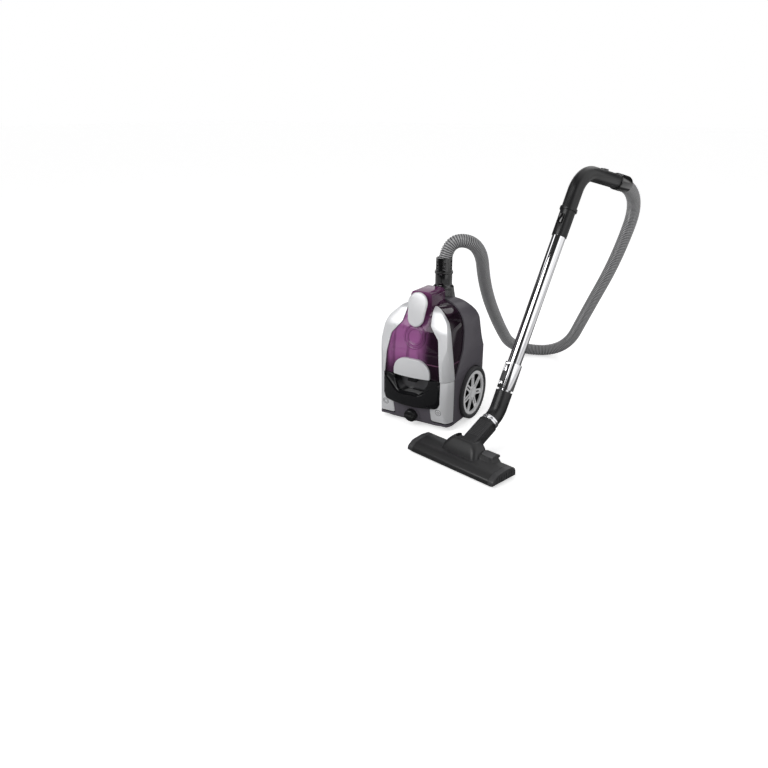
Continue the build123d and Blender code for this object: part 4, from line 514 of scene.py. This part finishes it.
paints = {
    "bodyGrey": bodyPaint(),
    "panGrey": finish("panGrey", (0.05, 0.045, 0.054), 0.5),
    "silverPaint": finish("silverPaint", **silver),
    "powerSilver": pedalPaint("powerSilver", 1, icons["powerInner"]),
    "rewindSilver": pedalPaint("rewindSilver", -1, icons["rewindInner"]),
    "wheelSilver": wheelPaint(),
    "baseGloss": basePaint(),
    "clearViolet": cupPaint(),
    "lidViolet": lidPaint(),
    "blackGloss": finish("blackGloss", (0.005, 0.005, 0.0055), 0.08, coat=0.8, depth=0.000003),
    "blackSatin": finish("blackSatin", (0.010, 0.010, 0.011), 0.36),
    "pipSatin": finish("pipSatin", (0.016, 0.016, 0.0175), 0.42),
    "beadGrey": finish("beadGrey", (0.06, 0.06, 0.063), 0.4),
    "headBlack": finish("headBlack", (0.019, 0.019, 0.020), 0.38),
    "headGrey": finish("headGrey", (0.075, 0.075, 0.078), 0.42),
    "capGrey": finish("capGrey", (0.045, 0.045, 0.047), 0.40),
    "buttonGrey": finish("buttonGrey", (0.05, 0.05, 0.052), 0.45),
    "tyreRubber": finish("tyreRubber", (0.045, 0.045, 0.048), 0.55, depth=0.00004),
    "steel": finish("steel", (0.5, 0.5, 0.51), 0.3, metallic=1.0),
    "chromePlate": finish(
        "chromePlate", (0.86, 0.86, 0.88), 0.07, metallic=1.0, gloss=0.03, tone=0.03, depth=0.000001,
    ),
    "hoseGrey": hosePaint(),
    "filterFleece": finish("filterFleece", (0.72, 0.72, 0.69), 0.9, grain=500, depth=0.0002),
}

finishOf = {
    "bodyGrey": "rear_housing chin_panel exhaust_grille inlet_elbow",
    "panGrey": "base_pan",
    "silverPaint": "trim_left trim_right bin_plate lid_latch",
    "powerSilver": "power_pedal",
    "rewindSilver": "rewind_pedal",
    "wheelSilver": "rim_left rim_right",
    "clearViolet": "bin_cup",
    "lidViolet": "bin_lid",
    "baseGloss": "bin_base",
    "blackGloss": "release_button hose_connector hose_cuff hose_end_cuff handle_button air_slide",
    "blackSatin": "suction_knob handle_grip neck cord_outlet motor_cradle cord_reel power_switch cyclone_cone"
                  " mesh_shroud impeller caster_fork",
    "pipSatin": "knuckle",
    "buttonGrey": "lock_button",
    "headBlack": "head_shell",
    "capGrey": "end_caps",
    "headGrey": "foot_rocker sole_plate",
    "tyreRubber": "tyre_left tyre_right caster_roller motor_rings head_rollers wound_cord",
    "steel": "axle_pins caster_pin latch_pin pan_screws reel_axle motor",
    "chromePlate": "inner_tube outer_tube swivel_ring slider_collar",
    "hoseGrey": "hose hose_floor hose_rise",
    "filterFleece": "exhaust_filter brush_strips",
}
paintOf = {node: paint for paint, members in finishOf.items() for node in members.split()}
for nodeName, paintName in paintOf.items():
    nodes[nodeName].data.materials.clear()
    nodes[nodeName].data.materials.append(paints[paintName])
print("finishes:", len(paints))

# moulded edges: each visible piece gets a rounded copy, with the round in millimetres
soft = {
    "merge": 0.00001, "flat": math.radians(0.5), "edge": math.radians(26), "shade": math.radians(34),
    "segments": 3, "profile": 0.5,
    "rounds": {
        "rear_housing": 2.2, "chin_panel": 1.2, "suction_knob": 1.2, "base_pan": 1.5, "exhaust_grille": 0.5,
        "inlet_elbow": 0.6, "power_pedal": 1.4, "rewind_pedal": 1.4, "trim_left": 1.4, "trim_right": 1.4,
        "bin_plate": 1.8, "lid_latch": 1.5, "rim_left": 0.9, "rim_right": 0.9, "tyre_left": 1.2,
        "tyre_right": 1.2, "bin_cup": 0.6, "bin_lid": 1.5, "bin_base": 2.2, "release_button": 1.0,
        "hose_connector": 1.2,
        "hose_cuff": 0.7, "hose_end_cuff": 1.2, "handle_grip": 1.5, "handle_button": 0.8, "air_slide": 0.6,
        "slider_collar": 1.2, "lock_button": 0.8, "head_shell": 1.5, "end_caps": 1.2, "sole_plate": 0.6,
        "foot_rocker": 1.6, "knuckle": 1.2, "neck": 1.2, "swivel_ring": 0.6, "cord_outlet": 0.6,
        "caster_fork": 0.6, "caster_roller": 0.8, "mesh_shroud": 0.4, "cyclone_cone": 0.4, "outer_tube": 0.4,
        "inner_tube": 0.3,
    },
}


def camel(name):
    first, *rest = name.split("_")
    return first + "".join(word.capitalize() for word in rest)


def soften(name, width):
    shape = bmesh.new()
    shape.from_mesh(nodes[name].data)
    bmesh.ops.remove_doubles(shape, verts=shape.verts, dist=soft["merge"])
    bmesh.ops.dissolve_limit(shape, angle_limit=soft["flat"], verts=shape.verts, edges=shape.edges)
    sharp = [e for e in shape.edges if e.is_manifold and e.calc_face_angle(0) > soft["edge"]]
    bmesh.ops.bevel(
        shape, geom=sharp, offset=width / 1000, offset_type="OFFSET", segments=soft["segments"],
        profile=soft["profile"], affect="EDGES", clamp_overlap=True,
    )
    mesh = bpy.data.meshes.new(camel(name))
    shape.to_mesh(mesh)
    shape.free()
    mesh.shade_smooth()
    mesh.set_sharp_from_angle(angle=soft["shade"])
    mesh.materials.append(paints[paintOf[name]])
    piece = bpy.data.objects.new(camel(name), mesh)
    scene.collection.objects.link(piece)
    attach(piece, bodyOf[name])
    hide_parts(name)
    return len(mesh.polygons)


faces = sum(soften(name, width) for name, width in soft["rounds"].items())
print("rounded pieces:", len(soft["rounds"]), "faces", faces)


# Geometry Nodes helpers: a tree with named inputs, its end, and the plain mesh that it grows
def newTree(name, inputs):
    tree = bpy.data.node_groups.new(name, "GeometryNodeTree")
    add = tree.interface.new_socket
    add(name="Geometry", in_out="INPUT", socket_type="NodeSocketGeometry")
    for label, kind in inputs:
        add(name=label, in_out="INPUT", socket_type="NodeSocket" + kind)
    add(name="Geometry", in_out="OUTPUT", socket_type="NodeSocketGeometry")
    return tree, tree.nodes.new("NodeGroupInput")


def endTree(tree, shape, finishSocket):
    real = tree.nodes.new("GeometryNodeRealizeInstances")
    smooth = tree.nodes.new("GeometryNodeSetShadeSmooth")
    dress = tree.nodes.new("GeometryNodeSetMaterial")
    leave = tree.nodes.new("NodeGroupOutput")
    tree.links.new(shape, real.inputs["Geometry"])
    tree.links.new(real.outputs["Geometry"], smooth.inputs["Geometry"])
    tree.links.new(smooth.outputs["Geometry"], dress.inputs["Geometry"])
    tree.links.new(finishSocket, dress.inputs["Material"])
    tree.links.new(dress.outputs["Geometry"], leave.inputs["Geometry"])


def plainMesh(source):
    bpy.context.view_layer.update()
    return bpy.data.meshes.new_from_object(source.evaluated_get(bpy.context.evaluated_depsgraph_get()))


def grown(source, tree, values):
    change = source.modifiers.new("grow", "NODES")
    change.node_group = tree
    for item in tree.interface.items_tree:
        if item.in_out == "INPUT" and item.name in values:
            change[item.identifier] = values[item.name]
    made = plainMesh(source)
    source.modifiers.remove(change)
    return made


# ribbed hose: its route's points, in metres, and its stretches, of which the first rides on the canister
hose = {
    "route": [
        (0, 0.084, 0.4004), (0, 0.084, 0.490), (0.070, 0.165, 0.478), (0.024, 0.305, 0.315),
        (0.002, 0.478, 0.152), (-0.012, 0.648, 0.019), (0.159, 0.715, 0.019), (0.249, 0.634, 0.205),
        (0.335, 0.590, 0.390), (0.40203, 0.51959, 0.60647), (0.36688, 0.37755, 0.63757),
    ],
    "fineness": 40, "pitch": 0.0056, "radius": 0.019, "valley": 0.0166, "ribShape": 1.1, "sides": 32,
    "ringsPerRib": 8, "ribs": (165, 64, 41),  # the last stretch has the ribs that are left
    "joins": (None, ("canister", "knuckle"), ("knuckle", "elbow"), ("elbow", "wand")),
    "standsFor": (("hose", "hose_floor"), ("hose_rise",), (), ()),
}


def hoseTree():
    sizes = [(label, "Float") for label in ("From", "To", "Pitch", "Radius", "Valley", "Step")]
    tree, enter = newTree("ribbedTube", sizes + [("Sides", "Int"), ("Finish", "Material")])
    link = tree.links.new
    trim = addNode(tree, "GeometryNodeTrimCurve", mode="LENGTH")
    startLength, endLength = trim.inputs[4:6]  # their names are those of the factors too
    link(enter.outputs["Geometry"], trim.inputs["Curve"])
    link(enter.outputs["From"], startLength)
    link(enter.outputs["To"], endLength)
    even = addNode(tree, "GeometryNodeResampleCurve", mode="LENGTH")
    link(trim.outputs["Curve"], even.inputs["Curve"])
    link(enter.outputs["Step"], even.inputs["Length"])
    along = tree.nodes.new("GeometryNodeSplineParameter")
    count = addMath(tree, "DIVIDE", along.outputs["Length"], enter.outputs["Pitch"])
    wave = addMath(tree, "SINE", addMath(tree, "MULTIPLY", count, math.pi))
    crest = addMath(tree, "POWER", addMath(tree, "ABSOLUTE", wave), hose["ribShape"])
    keep = addNode(tree, "GeometryNodeStoreNamedAttribute", data_type="FLOAT", domain="POINT", Name="crest")
    link(even.outputs["Curve"], keep.inputs["Geometry"])
    link(crest, keep.inputs["Value"])
    size = tree.nodes.new("ShaderNodeMapRange")
    link(crest, size.inputs["Value"])
    link(enter.outputs["Valley"], size.inputs["To Min"])
    link(enter.outputs["Radius"], size.inputs["To Max"])
    ring = addNode(tree, "GeometryNodeCurvePrimitiveCircle", Radius=1.0)
    link(enter.outputs["Sides"], ring.inputs["Resolution"])
    tube = tree.nodes.new("GeometryNodeCurveToMesh")
    link(keep.outputs["Geometry"], tube.inputs["Curve"])
    link(ring.outputs["Curve"], tube.inputs["Profile Curve"])
    link(size.outputs["Result"], tube.inputs["Scale"])
    endTree(tree, tube.outputs["Mesh"], enter.outputs["Finish"])
    return tree


def hoseLine():
    data = bpy.data.curves.new("hoseRoute", "CURVE")
    data.dimensions = "3D"
    data.resolution_u = hose["fineness"]
    spline = data.splines.new("NURBS")
    spline.points.add(len(hose["route"]) - 1)
    for point, place in zip(spline.points, hose["route"]):
        point.co = (*place, 1)
    spline.order_u = 3
    spline.use_endpoint_u = True
    line = bpy.data.objects.new("hoseRoute", data)
    scene.collection.objects.link(line)
    return line


def makeHose():
    line = hoseLine()
    points = [v.co.copy() for v in plainMesh(line).vertices]
    reach = [0.0]
    for a, b in zip(points, points[1:]):
        reach.append(reach[-1] + (b - a).length)
    cuts = [0.0]
    for count in hose["ribs"]:
        cuts.append(cuts[-1] + count * hose["pitch"])
    cuts.append(reach[-1])
    print("hose length", round(reach[-1], 4), "cuts", [round(c, 3) for c in cuts])

    tree = hoseTree()
    stretches = zip(cuts, cuts[1:], hose["joins"], hose["standsFor"])
    for number, (low, high, pair, stoodFor) in enumerate(stretches, 1):
        mesh = grown(line, tree, {
            "From": low, "To": high, "Pitch": hose["pitch"], "Radius": hose["radius"],
            "Valley": hose["valley"], "Step": hose["pitch"] / hose["ringsPerRib"], "Sides": hose["sides"],
            "Finish": paints["hoseGrey"],
        })
        piece = bpy.data.objects.new("hoseStretch%d" % number, mesh)
        scene.collection.objects.link(piece)
        if pair:
            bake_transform(piece)
        else:
            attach(piece, "canister")
        if stoodFor:
            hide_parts(*stoodFor)
        print("hose stretch", number, len(mesh.polygons), "faces")
    bpy.data.objects.remove(line)


makeHose()

# floor head's place: its turn, its middle, the pivot's place and the two lines that rise from it, in degrees
head = {
    "turn": -13.9, "middle": (0.219, -0.220), "pivot": (0.030, 0.038), "neckRise": 27.0, "neckLength": 0.122,
    "wandRise": 63.0,
}
grip = {
    "knuckle": {
        "rows": 12, "topColumns": 8, "sideColumns": 7, "pitch": 0.0044, "bead": (0.0014, 0.0014, 0.0007),
        "from": 0.052, "half": 0.021, "deep": 0.019,
    },
    "lockButton": {
        "rows": 7, "columns": 1, "pitch": 0.0034, "bead": (0.0010, 0.0065, 0.0009),
        "from": 0.098, "deep": 0.029,
    },
}


# a place on the head, by how far it lies to the right, to the back and up
def headPlace(right, rear, high):
    turned = Matrix.Rotation(math.radians(head["turn"]), 3, "Z") @ Vector((right, rear, 0))
    return Vector((head["middle"][0] + turned.x, head["middle"][1] + turned.y, high))


# rows of beads: a line of beads across, set on each point of a line along
def gripTree():
    tree, enter = newTree("gripRows", [
        ("Rows", "Int"), ("Columns", "Int"), ("Pitch", "Float"), ("Bead", "Vector"), ("Finish", "Material"),
    ])
    link = tree.links.new
    bead = addNode(tree, "GeometryNodeMeshIcoSphere", Radius=1.0, Subdivisions=2)
    shape = tree.nodes.new("GeometryNodeTransform")
    link(bead.outputs["Mesh"], shape.inputs["Geometry"])
    link(enter.outputs["Bead"], shape.inputs["Scale"])
    field = shape.outputs["Geometry"]
    for count, axis in (("Columns", "Y"), ("Rows", "X")):
        line = tree.nodes.new("GeometryNodeMeshLine")
        step = tree.nodes.new("ShaderNodeCombineXYZ")
        link(enter.outputs["Pitch"], step.inputs[axis])
        link(enter.outputs[count], line.inputs["Count"])
        link(step.outputs[0], line.inputs["Offset"])
        row = tree.nodes.new("GeometryNodeInstanceOnPoints")
        link(line.outputs["Mesh"], row.inputs["Points"])
        link(field, row.inputs["Instance"])
        field = row.outputs["Instances"]
    endTree(tree, field, enter.outputs["Finish"])
    return tree


def gripPatch(tree, values, columns, centre, along, out):
    seed = bpy.data.objects.new("gripSeed", bpy.data.meshes.new("gripSeed"))
    scene.collection.objects.link(seed)
    mesh = grown(seed, tree, {
        "Rows": values["rows"], "Columns": columns, "Pitch": values["pitch"], "Bead": values["bead"],
        "Finish": paints["beadGrey"],
    })
    bpy.data.objects.remove(seed)
    back = -values["pitch"] / 2
    mesh.transform(Matrix.Translation(((values["rows"] - 1) * back, (columns - 1) * back, 0)))
    turn = Matrix((along, out.cross(along), out)).transposed().to_4x4()
    mesh.transform(Matrix.Translation(centre) @ turn)
    return mesh


def gripPiece(name, meshes, node):
    joined = bmesh.new()
    for mesh in meshes:
        joined.from_mesh(mesh)
    made = bpy.data.meshes.new(name)
    joined.to_mesh(made)
    joined.free()
    made.materials.append(paints["beadGrey"])
    made.shade_smooth()
    piece = bpy.data.objects.new(name, made)
    scene.collection.objects.link(piece)
    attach(piece, bodyOf[node])
    print(name, len(made.polygons), "faces")


def makeGrips():
    tree = gripTree()
    across = headPlace(1, 0, 0) - headPlace(0, 0, 0)
    rear = headPlace(0, 1, 0) - headPlace(0, 0, 0)
    upright = Vector((0, 0, 1))
    neck, wand = math.radians(head["neckRise"]), math.radians(head["wandRise"])
    alongNeck = rear * math.cos(neck) + upright * math.sin(neck)
    alongWand = rear * math.cos(wand) + upright * math.sin(wand)
    pivot = headPlace(0, *head["pivot"])
    values = grip["knuckle"]
    top = across.cross(alongNeck)
    middle = pivot + alongNeck * values["from"]
    cover = [gripPatch(tree, values, values["topColumns"], middle + top * values["deep"], alongNeck, top)]
    for out in (across, -across):
        edge = middle + out * values["half"]
        cover.append(gripPatch(tree, values, values["sideColumns"], edge, alongNeck, out))
    gripPiece("knuckleBeads", cover, "knuckle")
    values = grip["lockButton"]
    front = across.cross(alongWand)
    bend = pivot + alongNeck * head["neckLength"]
    centre = bend + alongWand * values["from"] + front * values["deep"]
    ridges = gripPatch(tree, values, values["columns"], centre, alongWand, front)
    gripPiece("lockRidges", [ridges], "lock_button")


makeGrips()
